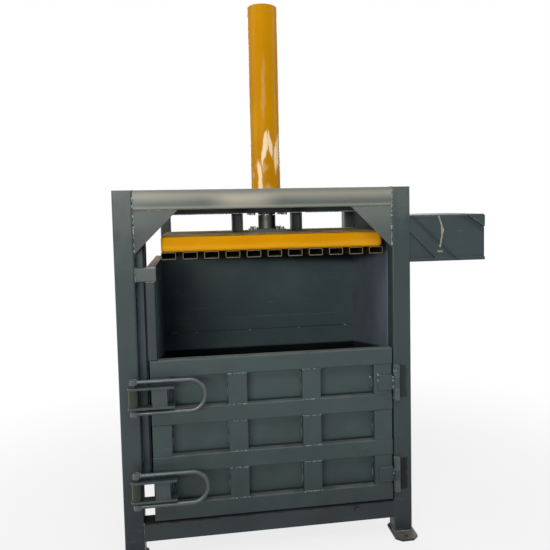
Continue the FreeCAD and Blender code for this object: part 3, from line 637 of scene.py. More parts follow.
@dataclass(frozen=True)
class SoftCompound:
    """A matt moulded or smeared compound, such as rubber or seam sealer."""

    name: str
    colour: str
    shade: str
    roughness: float = 0.75
    lump_mm: float = 4.0

    def material(self) -> bpy.types.Material:
        """Build the compound's material.

        Returns:
            The material.
        """
        material = fresh_material(self.name)
        lumps = object_place(material.node_tree).through(Step.NOISE, per_metre(self.lump_mm), 3.0)
        return surfaced(material, {
            "Base Color": lumps.tint(linear(self.colour), self.shade), "Roughness": self.roughness,
            "Specular IOR Level": 0.2, "Normal": lumps.through(Step.BUMP, 0.4, 0.3 * MM)})


class Finish(Enum):
    """Every finish on the machine."""

    # Satin machine enamel: soft highlights, slightly paler where edges were rubbed. Each part of the machine
    # has its own tone and its own mark, of use or of painted light and shade.
    FRAME_ENAMEL = SprayedPaint(
        "grey_green_frame_enamel", "384446", "334041", "66706E", foot="252B31", crown="565F5C")
    # Gusset enamel, painted paler towards the top and to the right as painted light.
    GUSSET_ENAMEL = SprayedPaint(
        "grey_green_gusset_enamel", "3E4648", "3A4244", "7A827E", mark=Mark.FADED_TOP, mark_colour="666E69")
    # Column enamel, with a painted shadow of the hinges beside them.
    HINGE_COLUMN_ENAMEL = SprayedPaint(
        "hinge_column_enamel", "384446", "334041", "66706E", foot="252B31", crown="565F5C",
        mark=Mark.HINGE_OIL, mark_colour="0A0F11", mark_dullness=0.3)
    KNUCKLE_ENAMEL = SprayedPaint(
        "rubbed_knuckle_enamel", "505B5A", "3F4A4A", "8E9693", roughness=0.38, cloud_mm=24.0, roll_depth=0.0,
        scuffs=0.7)
    # Enamel on the rear beam and the cylinder's mounting plate, painted dark as the shade under the top
    # beams.
    INNER_BEAM_ENAMEL = SprayedPaint(
        "oil_misted_inner_beam_enamel", "384446", "334041", "66706E", crown="565F5C", mark=Mark.OIL_MIST,
        mark_colour="0D0E10", mark_dullness=0.3)
    CAP_ENAMEL = SprayedPaint("grey_jamb_cap_enamel", "505957", "4A5352", "6E7673")
    # The top rails under the feed opening, where cardboard leaves its dust.
    RAIL_ENAMEL = SprayedPaint(
        "dusty_top_rail_enamel", "465150", "404A4A", "7A827E", shine=0.1, dust="C4AE98", dust_share=0.95)
    DOOR_ENAMEL = SprayedPaint(
        "grey_green_door_enamel", "3E4C4D", "394647", "5F6A69", foot="293335", dust="8C8E86", dust_share=0.4)
    # The latches: glossy where hands polish the bar, with painted shadow on top of the brackets under the
    # handle.
    HANDLE_ENAMEL = SprayedPaint(
        "hand_worn_handle_enamel", "3A4547", "313B3D", "7E8684", roughness=0.3, shine=0.75, roll_depth=0.0,
        scuffs=0.5, dust_share=0.0)
    BRACKET_ENAMEL = SprayedPaint(
        "grimy_bracket_enamel", "3F494C", "384245", "747C7A", dust="1A1F20", dust_share=0.8)
    # The same enamel on rolled sheet, which waves a little, with painted shade along each rail and in each
    # recess's left corner, and painted shade towards the bottom.
    SHEET_ENAMEL = SprayedPaint(
        "grey_green_sheet_enamel", "404F51", "3A494A", "56615F", roughness=0.4, roll_mm=180.0, roll_depth=1.6,
        scuffs=0.2, foot="2B3536", mark=Mark.RECESS_GRIME, mark_colour="171E20")
    # Chamber enamel, with the painted shadows of the door's top edge and of the platen on its inner faces.
    CHAMBER_ENAMEL = SprayedPaint(
        "grey_green_chamber_enamel", "4E6064", "47585F", "6C797A", roughness=0.45, shine=0.15, roll_mm=180.0,
        roll_depth=1.6, scuffs=0.4, mark=Mark.BALE_GRIME, mark_colour="040608", mark_dullness=0.45)
    # The bluish batch on the right wall and the jamb strip. The right wall's enamel is painted paler as
    # painted light, and carries the chamber's painted shadows.
    WALL_ENAMEL = SprayedPaint(
        "blue_grey_wall_enamel", "6C7986", "647080", "8A94A0", roughness=0.36, shine=0.5, roll_mm=160.0,
        roll_depth=1.4, scuffs=0.4, mark=Mark.BALE_GRIME, mark_colour="040608", mark_dullness=0.45)
    # Jamb enamel, with painted shade where the strip meets the stile.
    JAMB_ENAMEL = SprayedPaint(
        "blue_grey_jamb_enamel", "404C55", "3A464F", "666E76", roughness=0.4, roll_mm=160.0, roll_depth=1.0,
        foot="30383E", mark=Mark.SEAM_SHADE, mark_colour="05080A", mark_dullness=0.5)
    STILE_ENAMEL = SprayedPaint("grey_stile_enamel", "323D40", "2C3639", "5C6665", foot="283034")
    # Tank enamel, with painted shadow beside the diagonal rib and under the corner plate's edge.
    TANK_ENAMEL = SprayedPaint(
        "grey_tank_enamel", "374346", "323D40", "666E76", roughness=0.4, roll_mm=160.0, roll_depth=1.0,
        mark=Mark.RIB_GRIME, mark_colour="10181B")
    # Enamel along the front top beam, paler than the frame's, with painted highlights on its face and lower
    # lip.
    BEAM_ENAMEL = SprayedPaint(
        "faded_top_beam_enamel", "5E6764", "5A625E", "86887F", roughness=0.36, roll_mm=320.0, roll_depth=1.2,
        mark=Mark.BEAM_FACE, mark_colour="B7B2A2")
    # Sill paint, near black on its upper faces, with painted shade along its upper edge under the door.
    SILL_ENAMEL = SprayedPaint(
        "dusty_sill_enamel", "2E353A", "272D32", "51585C", roughness=0.5, dust="0E1112", dust_share=0.95,
        mark=Mark.SILL_SOOT, mark_colour="07090A", mark_dullness=0.3)
    # Olive enamel on the latch cams, darkened as painted shade under the brackets.
    CAM_OLIVE = SprayedPaint("olive_latch_cam_enamel", "2C332B", "22281F", "4A5247", roughness=0.35)
    # Golden machine gloss, thick enough to sag softly, with a painted highlight low on the front beam and
    # painted light on its right end.
    PLATEN_GLOSS = SprayedPaint(
        "golden_platen_gloss", "D99500", "D48E00", "C08A10", roughness=0.36, shine=0.04, roll_depth=0.5,
        scuffs=0.1, dust="6E5A20", dust_share=0.85, mark=Mark.ROLLED_SHEEN, mark_colour="E8A626")
    # Golden gloss on the cylinder, with painted reflection streaks down the front of the barrel.
    CYLINDER_GLOSS = SprayedPaint(
        "golden_cylinder_gloss", "C68900", "BE8200", "D29A22", roughness=0.26, shine=0.05, roll_depth=0.8,
        scuffs=0.12, edge_wear=0.25, mark=Mark.BARREL_HAZE, mark_colour="FFE2B4")
    # Brown-grey primer left on the top and tubes of the pressing plate.
    TUBE_PRIMER = SprayedPaint(
        "brown_tube_primer", "33260F", "2A1F0C", "5C5136", roughness=0.7, shine=0.1, scuffs=0.2,
        edge_wear=0.2, mark=Mark.TUBE_ENDS, mark_colour="857D66")
    PLATE_PRIMER = SprayedPaint(
        "brown_plate_primer", "756A4C", "5C5136", "94866A", roughness=0.85, shine=0.0, scuffs=0.4,
        dust="D6C398", dust_share=0.9, mark=Mark.FRONT_DUST, mark_colour="E8D6AC")
    # Weld beads under one coat of enamel: rippled, with bright spots where slag chipped off.
    WELD_COAT = SprayedPaint(
        "painted_weld_ripple", "7B8481", "59625F", "C2C7C3", roughness=0.38, cloud_mm=16.0, peel_mm=2.5,
        roll_depth=0.0, scuffs=0.6, edge_wear=0.0, dust="A3A8A2")
    CHIPPED_WELD = SprayedPaint(
        "chipped_bright_weld", "A3A8A5", "5F6664", "D4D8D4", roughness=0.35, cloud_mm=14.0, peel_mm=2.5,
        roll_depth=0.0, scuffs=0.8, edge_wear=0.0, dust="A3A8A2")
    GOLD_WELD = SprayedPaint(
        "painted_gold_weld", "CF8B06", "B87A04", "DDA63A", roughness=0.35, cloud_mm=14.0, peel_mm=2.5,
        roll_depth=0.0, edge_wear=0.0)
    # Hard chrome, ground round the bar, greased and toned darker as painted shade.
    ROD_CHROME = BareMetal(
        "greased_chrome_rod", "9A9C9C", 0.2, grain_mm=0.8, stretch=(0.2, 0.2, 3.0), stain="4A4640",
        stain_share=0.5)
    TURNED_IRON = BareMetal(
        "oiled_turned_iron", "545653", 0.42, stretch=(0.3, 0.3, 2.5), stain="38342E", stain_share=0.6)
    ZINC_PLATE = BareMetal("dull_zinc_plate", "9C9D9A", 0.38, grain_mm=3.0, stain_share=0.3)
    SEAL_RUBBER = SoftCompound("black_seal_rubber", "19191B", "222224")
    SEAM_SEALER = SoftCompound("dried_beige_sealer", "A6A294", "8B877B", roughness=0.6)


class Paints:
    """Makes each finish's material once and hands it out."""

    def __init__(self) -> None:
        """Start with no materials made."""
        self.made: dict[Finish, bpy.types.Material] = {}

    def of(self, finish: Finish) -> bpy.types.Material:
        """Return the finish's material.

        Args:
            finish: The finish.

        Returns:
            Its material, made at the first call.
        """
        if finish not in self.made:
            self.made[finish] = finish.value.material()
        return self.made[finish]

    def coat(self, finish: Finish, nodes: Sequence[str]) -> None:
        """Give CAD nodes one finish.

        Args:
            finish: The finish.
            nodes: Names of CAD nodes.
        """
        for name in nodes:
            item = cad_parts[name]
            item.data.materials.clear()
            item.data.materials.append(self.of(finish))
        LOG.info("%s on %d pieces", finish.value.name, len(nodes))

    def finish_piece(self, item: bpy.types.Object, finish: Finish, body: str, slot: str) -> None:
        """Dress a new piece and tie it to its body.

        Args:
            item: The piece.
            finish: Its finish.
            body: The body that carries it.
            slot: Not used.
        """
        item.data.materials.append(self.of(finish))
        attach(item, body)
        LOG.info("piece %s: %d faces", item.name, len(item.data.polygons))


def object_from(name: str, mesh: bmesh.types.BMesh, smooth: bool = True) -> bpy.types.Object:
    """Turn a bmesh to an object of the scene.

    Args:
        name: The piece's name.
        mesh: The finished bmesh, which is freed.
        smooth: Whether its faces shade smoothly.

    Returns:
        The linked object, at the origin.
    """
    data = bpy.data.meshes.new(name)
    for face in mesh.faces:
        face.smooth = smooth
    mesh.to_mesh(data)
    mesh.free()
    item = bpy.data.objects.new(name, data)
    bpy.context.scene.collection.objects.link(item)
    return item


# ---------------------------------------------------------------- weld seams

@dataclass(frozen=True)
class Seam:
    """A straight weld between two points of the machine's reference."""

    start: Point
    end: Point
    width: float = 5.0
    pitch: float = 4.5
    uneven: float = 0.16
    gaps: float = 0.0

    @classmethod
    def upright(cls, x: float, y: float, low: float, high: float, **look: float) -> "Seam":
        """Return a weld that runs straight up."""
        return cls((x, y, low), (x, y, high), **look)

    @classmethod
    def across(cls, start: float, end: float, y: float, z: float, **look: float) -> "Seam":
        """Return a level weld along X."""
        return cls((start, y, z), (end, y, z), **look)

    @classmethod
    def inward(cls, x: float, start: float, end: float, z: float, **look: float) -> "Seam":
        """Return a level weld along Y."""
        return cls((x, start, z), (x, end, z), **look)


@dataclass(frozen=True)
class RingSeam:
    """A weld round a bar that lies along one axis."""

    centre: Point
    radius: float
    along: str = "z"
    width: float = 5.0
    pitch: float = 5.0
    uneven: float = 0.16
    gaps: float = 0.0


AnySeam = Seam | RingSeam


@dataclass(frozen=True)
class Weld:
    """One piece of beads: its name, the seed of its unevenness, where the beads run and how it is dressed."""

    name: str
    seed: int
    seams: Sequence[AnySeam]
    finish: Finish = Finish.WELD_COAT
    body: str = "frame"
    slot: str = "frame_paint"


def ripples(seam: AnySeam) -> Iterable[tuple[Vector, Vector]]:
    """Walk along a seam from ripple to ripple.

    Args:
        seam: The seam.

    Returns:
        Each ripple's centre and its direction of travel, in millimetres.
    """
    if isinstance(seam, Seam):
        start, end = Vector(seam.start), Vector(seam.end)
        count = max(1, round((end - start).length / seam.pitch))
        for index in range(count + 1):
            yield start.lerp(end, index / count), (end - start).normalized()
        return
    count = max(8, round(2 * math.pi * seam.radius / seam.pitch))
    for index in range(count):
        angle = 2 * math.pi * index / count
        across, travel = math.cos(angle), math.sin(angle)
        out, way = {
            "x": (Vector((0, across, travel)), Vector((0, -travel, across))),
            "y": (Vector((across, 0, travel)), Vector((-travel, 0, across))),
            "z": (Vector((across, travel, 0)), Vector((-travel, across, 0)))}[seam.along]
        yield Vector(seam.centre) + out * seam.radius, way


def beads_of(weld: Weld) -> bpy.types.Object:
    """Lay rippled beads along a weld's seams as one piece.

    Args:
        weld: The weld.

    Returns:
        The piece.
    """
    chance = random.Random(weld.seed)
    mesh = bmesh.new()
    for seam in weld.seams:
        for centre, travel in ripples(seam):
            if chance.random() < seam.gaps:
                continue
            size = seam.width / 2 * chance.uniform(1 - seam.uneven, 1 + seam.uneven)
            jitter = Vector([chance.uniform(-reach, reach) for reach in (0.5, 0.3, 0.5)])
            turn = travel.to_track_quat("X", "Z").to_matrix().to_4x4()
            shape = Matrix.Diagonal((seam.pitch * 0.75, size, size, 1.0))
            place = Matrix.Translation((centre + jitter + ORIGIN_SHIFT) * MM)
            bmesh.ops.create_icosphere(mesh, subdivisions=1, radius=1.0,
                                       matrix=place @ Matrix.Scale(MM, 4) @ turn @ shape)
    return object_from(weld.name, mesh)


# ---------------------------------------------------------------- sub-assemblies

# Left and right, or below and above.
SIDES = (-1, 1)
# How far a bead's middle stands off the face that it lies on.
PROUD = 0.4


@dataclass
class SubAssembly:
    """CAD pieces, named under their finishes, and the welds that join them."""

    coats: ClassVar[dict[Finish, str]]
    paints: Paints

    def welds(self) -> list[Weld]:
        """Return the pieces of beads."""
        raise NotImplementedError

    def dress(self) -> None:
        """Paint the CAD pieces and lay the welds."""
        for finish, names in self.coats.items():
            self.paints.coat(finish, names.format(**vars(self)).split())
        for weld in self.welds():
            self.paints.finish_piece(beads_of(weld), weld.finish, weld.body, weld.slot)


@dataclass
class WeldedFrame(SubAssembly):
    """Columns, beams, sills, gussets and feet."""

    coats: ClassVar[dict[Finish, str]] = {
        Finish.HINGE_COLUMN_ENAMEL: "front_right_column",
        Finish.FRAME_ENAMEL: "front_left_column rear_columns side_top_beams cylinder_cross_beams "
                             "foot_plates side_sills rear_sill floor_joists",
        Finish.INNER_BEAM_ENAMEL: "rear_top_beam",
        Finish.GUSSET_ENAMEL: "corner_gussets",
        Finish.BEAM_ENAMEL: "front_top_beam",
        Finish.SILL_ENAMEL: "front_sill sill_stop_stud"}
    left_face: float = -571.0
    right_face: float = 495.0
    beam: tuple[float, float] = (1440.0, 1520.0)
    sill: tuple[float, float] = (76.0, 156.0)
    gusset: float = 176.0
    rear_inner: float = 452.0
    rear_column: float = 50.0
    wall_outer: float = 532.0
    rear_face: float = 706.0
    tube: float = 80.0
    foot_top: float = 10.0
    cross_walls: tuple[float, float] = (98.0, 158.0)
    plate_edges: tuple[float, float] = (230.0, 470.0)

    def welds(self) -> list[Weld]:
        """Join the beams, feet and cross beams, and the front corners.

        Returns:
            The pieces of beads.
        """
        hidden = [*self.rear_seams(), *self.foot_seams(), *self.cross_seams()]
        return [Weld("frame_weld_beads", 3, hidden),
                Weld("corner_weld_beads", 4, self.front_seams(), Finish.CHIPPED_WELD)]

    def front_seams(self) -> list[Seam]:
        """Run the heavy, uneven welds at the front corners.

        Returns:
            The seams, those on the beam first and those on the gusset after them.
        """
        low, high = self.beam
        seams = []
        for face, way in ((self.left_face, 1), (self.right_face, -1)):
            seams += [
                Seam.upright(face, 1.2, low + 3, high - 8, width=6.0, pitch=8.0, uneven=0.4, gaps=0.45),
                Seam.upright(face, 0.8, low + 12, low + 17, width=11.0, pitch=6.0),
                Seam.upright(face, 0.8, low + 38, low + 45, width=12.0, pitch=6.0),
                Seam.inward(face, 6, self.tube - 6, high - PROUD),
                Seam.upright(face + way, 2.2, low - self.gusset + 4, low - 4,
                             width=7.5, pitch=9.5, uneven=0.5, gaps=0.35),
                Seam.across(face + way * 5, face + way * (self.gusset - 8), 3.5, low - 1,
                            width=3.0, pitch=5.0, gaps=0.4)]
        return seams

    def rear_seams(self) -> list[Seam]:
        """Run the welds at the sill, at the rear corners and along the side beams.

        Returns:
            The seams, side by side.
        """
        back, under = self.rear_face + self.tube, self.beam[0] - 1
        seams = [Seam.upright(face, 2.8, self.sill[0] + 4, self.sill[1] - 2)
                 for face in (self.left_face, self.right_face)]
        for side in SIDES:
            inner, outer = side * self.rear_inner, side * self.wall_outer
            post = side * (self.rear_inner + self.rear_column)
            for low, high in (self.beam, self.sill):
                seams.append(Seam.upright(outer - side * PROUD, self.rear_face, low + 4, high - 4))
                seams += [Seam.across(inner + side * 5, outer - side * 5, y, high - PROUD)
                          for y in (self.rear_face, self.tube)]
            seams += [
                Seam.across(inner + side * 2, post - side * 2, back - PROUD, under, width=6.0),
                Seam.inward(post + side * PROUD, self.rear_face + 4, back - 4, under, width=6.0),
                Seam.upright(inner, back - PROUD, self.sill[0] + 4, self.sill[1] - 4)]
        return seams

    def cross_seams(self) -> list[Seam]:
        """Run the welds of the two beams and the plate that carry the cylinder.

        Returns:
            The seams, side by side.
        """
        low, high = self.beam
        seams = []
        for side in SIDES:
            seams += [Seam.upright(side * wall, y, low + 4, high - 4) for wall in self.cross_walls
                      for y in (self.tube + PROUD, self.rear_face - PROUD)]
            seams += [Seam.across(side * 166, side * 440, y, low - 22) for y in self.plate_edges]
        return seams

    def foot_seams(self) -> list[Seam]:
        """Run the fillets round the columns' feet.

        Returns:
            Four seams to a foot.
        """
        level = self.foot_top + 2
        spots = ((self.left_face - self.tube, 0.0, self.tube), (self.right_face, 0.0, self.tube),
                 (-self.rear_inner - self.rear_column, self.rear_face, self.rear_column),
                 (self.rear_inner, self.rear_face, self.rear_column))
        seams = []
        for x, y, across in spots:
            corners = [(x, y), (x + across, y), (x + across, y + self.tube), (x, y + self.tube)]
            for a, b in zip(corners, corners[1:] + corners[:1]):
                seams.append(Seam((*a, level), (*b, level), width=7.0, pitch=6.0))
        return seams


@dataclass
class Chamber(SubAssembly):
    """Walls, jamb, back sheets and floor of the pressing chamber."""

    coats: ClassVar[dict[Finish, str]] = {
        Finish.WALL_ENAMEL: "right_side_wall",
        Finish.JAMB_ENAMEL: "jamb_strip",
        Finish.CHAMBER_ENAMEL: "left_side_wall rear_upper_panel rear_lower_panel chamber_floor "
                                 "rear_panel_rail",
        Finish.FRAME_ENAMEL: "side_wall_ribs rear_wall_ribs",
        Finish.STILE_ENAMEL: "jamb_stile",
        Finish.CAP_ENAMEL: "jamb_cap",
        Finish.RAIL_ENAMEL: "side_wall_top_rails"}
    half: float = 495.0
    rib_start: float = 105.0
    rib_pitch: float = 160.0
    rib_width: float = 50.0
    ribs: int = 4
    rib_span: tuple[float, float] = (156.0, 1171.0)
    back: float = 706.0
    back_ribs: tuple[float, ...] = (1230.0, 1030.0, 810.0, 483.0, 176.0)
    back_rib: float = 40.0
    stitch: float = 45.0
    side_step: float = 190.0
    back_step: float = 205.0
    back_stitched: tuple[float, float] = (-430.0, 420.0)
    slit: float = 806.0
    rail_top: float = 876.0
    strip_edge: float = -570.4
    strip_stitches: tuple[float, ...] = (400.0, 620.0, 900.0, 1090.0, 1250.0, 1370.0)
    tacks: tuple[tuple[float, float], ...] = ((-336.0, 700.0), (-63.0, 700.0), (196.0, 700.0), (489.0, 704.0))

    def welds(self) -> list[Weld]:
        """Join the ribs, rail, cap and strip, and tack the slit.

        Returns:
            The pieces of beads.
        """
        beads = [*self.rib_seams(), *self.back_seams(), *self.jamb_seams()]
        return [Weld("chamber_weld_beads", 5, beads),
                Weld("back_rail_tacks", 6, self.rail_tacks(), Finish.CHIPPED_WELD)]

    def rib_seams(self) -> list[Seam]:
        """Run the stitch welds up both edges of every side rib.

        Returns:
            The stitches.
        """
        low, high = self.rib_span
        seams = []
        for side in SIDES:
            face = side * (self.half + 6.4)
            for rib in range(self.ribs):
                first = self.rib_start + rib * self.rib_pitch
                for edge in (first, first + self.rib_width):
                    level = low + 60
                    while level + self.stitch < high:
                        seams.append(Seam.upright(face, edge, level, level + self.stitch))
                        level += self.side_step
        return seams

    def back_seams(self) -> list[Seam]:
        """Run the stitch welds along the back ribs and the bead over the rail inside.

        Returns:
            The stitches, then the bead and its lump.
        """
        start, end = self.back_stitched
        seams = []
        for middle in self.back_ribs:
            for level in (middle - self.back_rib / 2, middle + self.back_rib / 2):
                x = start
                while x < end:
                    seams.append(Seam.across(x, x + self.stitch, self.back + PROUD, level))
                    x += self.back_step
        return seams + [Seam.across(-490, 490, 696.5, self.rail_top, width=4.0, pitch=5.0),
                        Seam.across(-462, -434, 703, self.slit, width=14.0, pitch=6.0)]

    def rail_tacks(self) -> list[Seam]:
        """Return the bright tacks across the slit and at its ends."""
        return [Seam.across(x - 3, x + 3, y, self.slit, width=9.0, pitch=6.0) for x, y in self.tacks]

    def jamb_seams(self) -> list[Seam]:
        """Run the welds of the square cap on the stile and of the strip on the column.

        Returns:
            The cap's three seams, then the strip's stitches.
        """
        return [Seam.upright(-570.5, -0.2, 1156, 1205),
                Seam.across(-531, -497, -0.2, 1152.5),
                Seam.inward(-569, 2, 44, 1208.3),
                *(Seam.upright(self.strip_edge, 47.4, level, level + 35) for level in self.strip_stitches)]


@dataclass
class BaleDoor(SubAssembly):
    """The bale door: skin, rails, short uprights, hinge leaves and latch brackets."""

    coats: ClassVar[dict[Finish, str]] = {
        Finish.DOOR_ENAMEL: "door_rails door_uprights hinge_door_leaves",
        Finish.BRACKET_ENAMEL: "latch_brackets",
        Finish.KNUCKLE_ENAMEL: "hinge_column_knuckles hinge_pins",
        Finish.SHEET_ENAMEL: "door_skin"}
    left: float = -526.0
    right: float = 489.0
    bottom: float = 160.0
    height: float = 670.0
    rail: float = 70.0
    upright: float = 80.0
    rows: int = 3
    columns: int = 3
    skin: float = 37.0
    leaf_reach: float = 58.0
    leaf_half: float = 31.0
    hinges: tuple[float, float] = (681.0, 276.0)
    knuckle_edges: tuple[float, float] = (496.5, 513.5)
    latches: tuple[float, float] = (697.0, 316.0)
    clevis: float = 43.5
    clevis_end: float = -430.0

    def welds(self) -> list[Weld]:
        """Join the grid, brackets and hinges.

        Returns:
            The pieces of beads.
        """
        return [
            Weld("door_weld_beads", 7, [*self.grid_seams(), *self.bracket_seams()], body="door"),
            Weld("hinge_leaf_welds", 9, self.hinge_seams(), Finish.DOOR_ENAMEL, "door"),
            Weld("hinge_spatter_welds", 10, self.spatter_seams(), Finish.CHIPPED_WELD, "door"),
            Weld("hinge_column_welds", 8, self.knuckle_seams())]

    def grid_seams(self) -> list[Seam]:
        """Run the beads at both ends of the middle uprights and the tacks beside every upright.

        Returns:
            The seams, row by row.
        """
        rise = (self.height - self.rail) / self.rows
        step = (self.right - self.left - self.upright) / self.columns
        seams = []
        for row in range(self.rows):
            low = self.bottom + row * rise + self.rail
            high = self.bottom + (row + 1) * rise
            for column in range(self.columns + 1):
                x = self.left + column * step
                for level in (low, high) if 0 < column < self.columns else ():
                    seams.append(Seam.across(x + 3, x + self.upright - 3, 0.6, level,
                                             width=7.0, pitch=5.5, uneven=0.45, gaps=0.12))
                for edge, way in ((x, -1), (x + self.upright, 1)):
                    if self.left < edge < self.right:
                        seams += self.tacks(edge + way * 0.5, (low + high) / 2)
        return seams

    def tacks(self, x: float, middle: float) -> list[Seam]:
        """Return the tacks that hold one upright's edge to the skin."""
        return [Seam.upright(x, self.skin, middle + low, middle + high)
                for low, high in ((-32, -6), (26, 44))]

    def hinge_seams(self) -> list[Seam]:
        """Run the lumpy beads round the door's hinge leaves.

        Returns:
            Three seams to a leaf.
        """
        edge, end = self.right - self.leaf_reach, self.leaf_half
        seams = []
        for level in self.hinges:
            seams.append(Seam.upright(edge, -2, level - end + 1, level + end - 1,
                                      width=8.0, pitch=6.0, uneven=0.4))
            seams += [Seam.across(edge, self.right - 4, -2, level + side * end,
                                  width=7.0, pitch=6.5, uneven=0.4) for side in SIDES]
        return seams

    def spatter_seams(self) -> list[Seam]:
        """Run the bright lumps where the leaves meet their knuckles and left of the upper leaf.

        Returns:
            Three dots, then two rows to a hinge.
        """
        seams = [Seam((x, -0.5, z), (x + 1, -0.5, z + 4), width=6.5)
                 for x, z in ((391, 707), (426, 715), (426, 690))]
        for level, gaps in zip(self.hinges, (0.25, 0.6)):
            seams.append(Seam.upright(self.right + 3.5, -8, level - 24, level + 24,
                                      width=9.0, pitch=6.5, uneven=0.5, gaps=gaps))
            seams.append(Seam((self.right - 40, -3.2, level - 12), (self.right - 38, -3.2, level + 14),
                              width=5.0, pitch=9.0, uneven=0.5, gaps=gaps))
        return seams

    def bracket_seams(self) -> list[Seam]:
        """Run the fillets that hold the latch brackets.

        Returns:
            Three seams to a latch.
        """
        block = self.clevis_end - 27.5
        seams = []
        for level in self.latches:
            seams += [Seam.across(-522, self.clevis_end - 2, -1, level + side * (self.clevis + 0.5),
                                  width=6.0, pitch=5.0) for side in SIDES]
            seams.append(Seam.upright(block, -1, level - 34, level + 34, width=6.0, pitch=5.0))
        return seams

    def knuckle_seams(self) -> list[Seam]:
        """Run the beads that hold the outer knuckles to the column.

        Returns:
            Four seams to a hinge.
        """
        seams = []
        for level in self.hinges:
            for side in SIDES:
                low = level + side * 49.5 - 22
                seams += [Seam.upright(x, -0.8, low, low + 44, width=6.0, pitch=5.0, uneven=0.3)
                          for x in self.knuckle_edges]
        return seams


@dataclass
class UHandleLatch(SubAssembly):
    """One latch: cam on a shaft with a U-handle of round bar."""

    coats: ClassVar[dict[Finish, str]] = {
        Finish.CAM_OLIVE: "{side}_latch_cam",
        Finish.HANDLE_ENAMEL: "{side}_latch_handle"}
    side: str
    level: float
    pivot: tuple[float, float] = (-589.0, -50.0)
    shaft_radius: float = 12.0
    bar_radius: float = 9.0
    arm: float = 63.5
    eye: float = 16.0
    shaft_end: float = 74.0

    def welds(self) -> list[Weld]:
        """Weld the handle's eyes to the shaft and to the bar.

        Returns:
            The latch's one piece of beads.
        """
        x, y = self.pivot
        seams = []
        for end in SIDES:
            seams.append(RingSeam((x, y, self.level + end * (self.shaft_end - 0.8)), self.shaft_radius,
                                  width=3.5, pitch=4.0))
            seams.append(RingSeam((x + self.eye - 1, y, self.level + end * self.arm), self.bar_radius, "x"))
        return [Weld(f"{self.side}_latch_welds", 11, seams, body=f"{self.side}_latch")]


@dataclass
class PressingPlate(SubAssembly):
    """The yellow platen with its feet tubes, posts, hub and rod."""

    coats: ClassVar[dict[Finish, str]] = {
        Finish.PLATEN_GLOSS: "platen_front_beam platen_rear_beam platen_side_beams",
        Finish.PLATE_PRIMER: "platen_top_plate platen_inner_plates",
        Finish.FRAME_ENAMEL: "platen_posts",
        Finish.TUBE_PRIMER: "platen_tubes",
        Finish.TURNED_IRON: "rod_hub piston",
        Finish.ROD_CHROME: "piston_rod",
        Finish.ZINC_PLATE: "rod_hub_bolts",
        Finish.SEAL_RUBBER: "piston_seal"}
    hub_radius: float = 40.0
    hub_plate: float = 80.0
    setback: float = 350.0
    top: float = 1330.0
    post: tuple[float, float] = (112.0, 162.0)
    post_depth: tuple[float, float] = (325.0, 375.0)

    def welds(self) -> list[Weld]:
        """Return the piece of beads."""
        return [Weld("platen_weld_beads", 13, self.seams(), body="platen", slot="platen_steel")]

    def seams(self) -> list[AnySeam]:
        """Run the beads round the hub, its plate and the posts' feet.

        Returns:
            The hub's ring, then the seams of either side.
        """
        level = self.top + 1
        seams: list[AnySeam] = [RingSeam((0, self.setback, self.top + 15), self.hub_radius + 1.5)]
        front, back = self.post_depth
        for side in SIDES:
            near, far = (side * edge for edge in self.post)
            corners = [(near, front), (near, back), (far, back), (far, front)]
            seams += [Seam((*a, level), (*b, level)) for a, b in zip(corners, corners[1:])]
            seams += [Seam.inward(side * self.hub_plate, start, start + 40, level)
                      for start in (self.setback - 60, self.setback + 20)]
        return seams


@dataclass
class PressCylinder(SubAssembly):
    """The barrel with its cap, flange, gland, mounting plate and ports."""

    coats: ClassVar[dict[Finish, str]] = {
        Finish.CYLINDER_GLOSS: "cylinder_barrel cylinder_end_cap cylinder_flange oil_port_bosses",
        Finish.INNER_BEAM_ENAMEL: "cylinder_mounting_plate",
        Finish.TURNED_IRON: "cylinder_gland",
        Finish.ZINC_PLATE: "cylinder_bolts"}
    setback: float = 350.0
    barrel: float = 66.5
    flange_top: float = 1464.0
    cap_seam: float = 2310.0
    ports: tuple[float, float] = (1510.0, 2290.0)
    port_radius: float = 16.0

    def welds(self) -> list[Weld]:
        """Run the rings round the barrel's foot and cap and round its ports.

        Returns:
            The cylinder's one piece of beads.
        """
        seams = [RingSeam((0, self.setback, self.flange_top + 1), self.barrel + 1.5, width=8.0, pitch=6.0),
                 RingSeam((0, self.setback, self.cap_seam), self.barrel - 1.2),
                 *(RingSeam((0, self.setback + self.barrel - 0.5, level), self.port_radius, "y")
                   for level in self.ports)]
        return [Weld("cylinder_weld_beads", 17, seams, Finish.GOLD_WELD, slot="cylinder_yellow")]


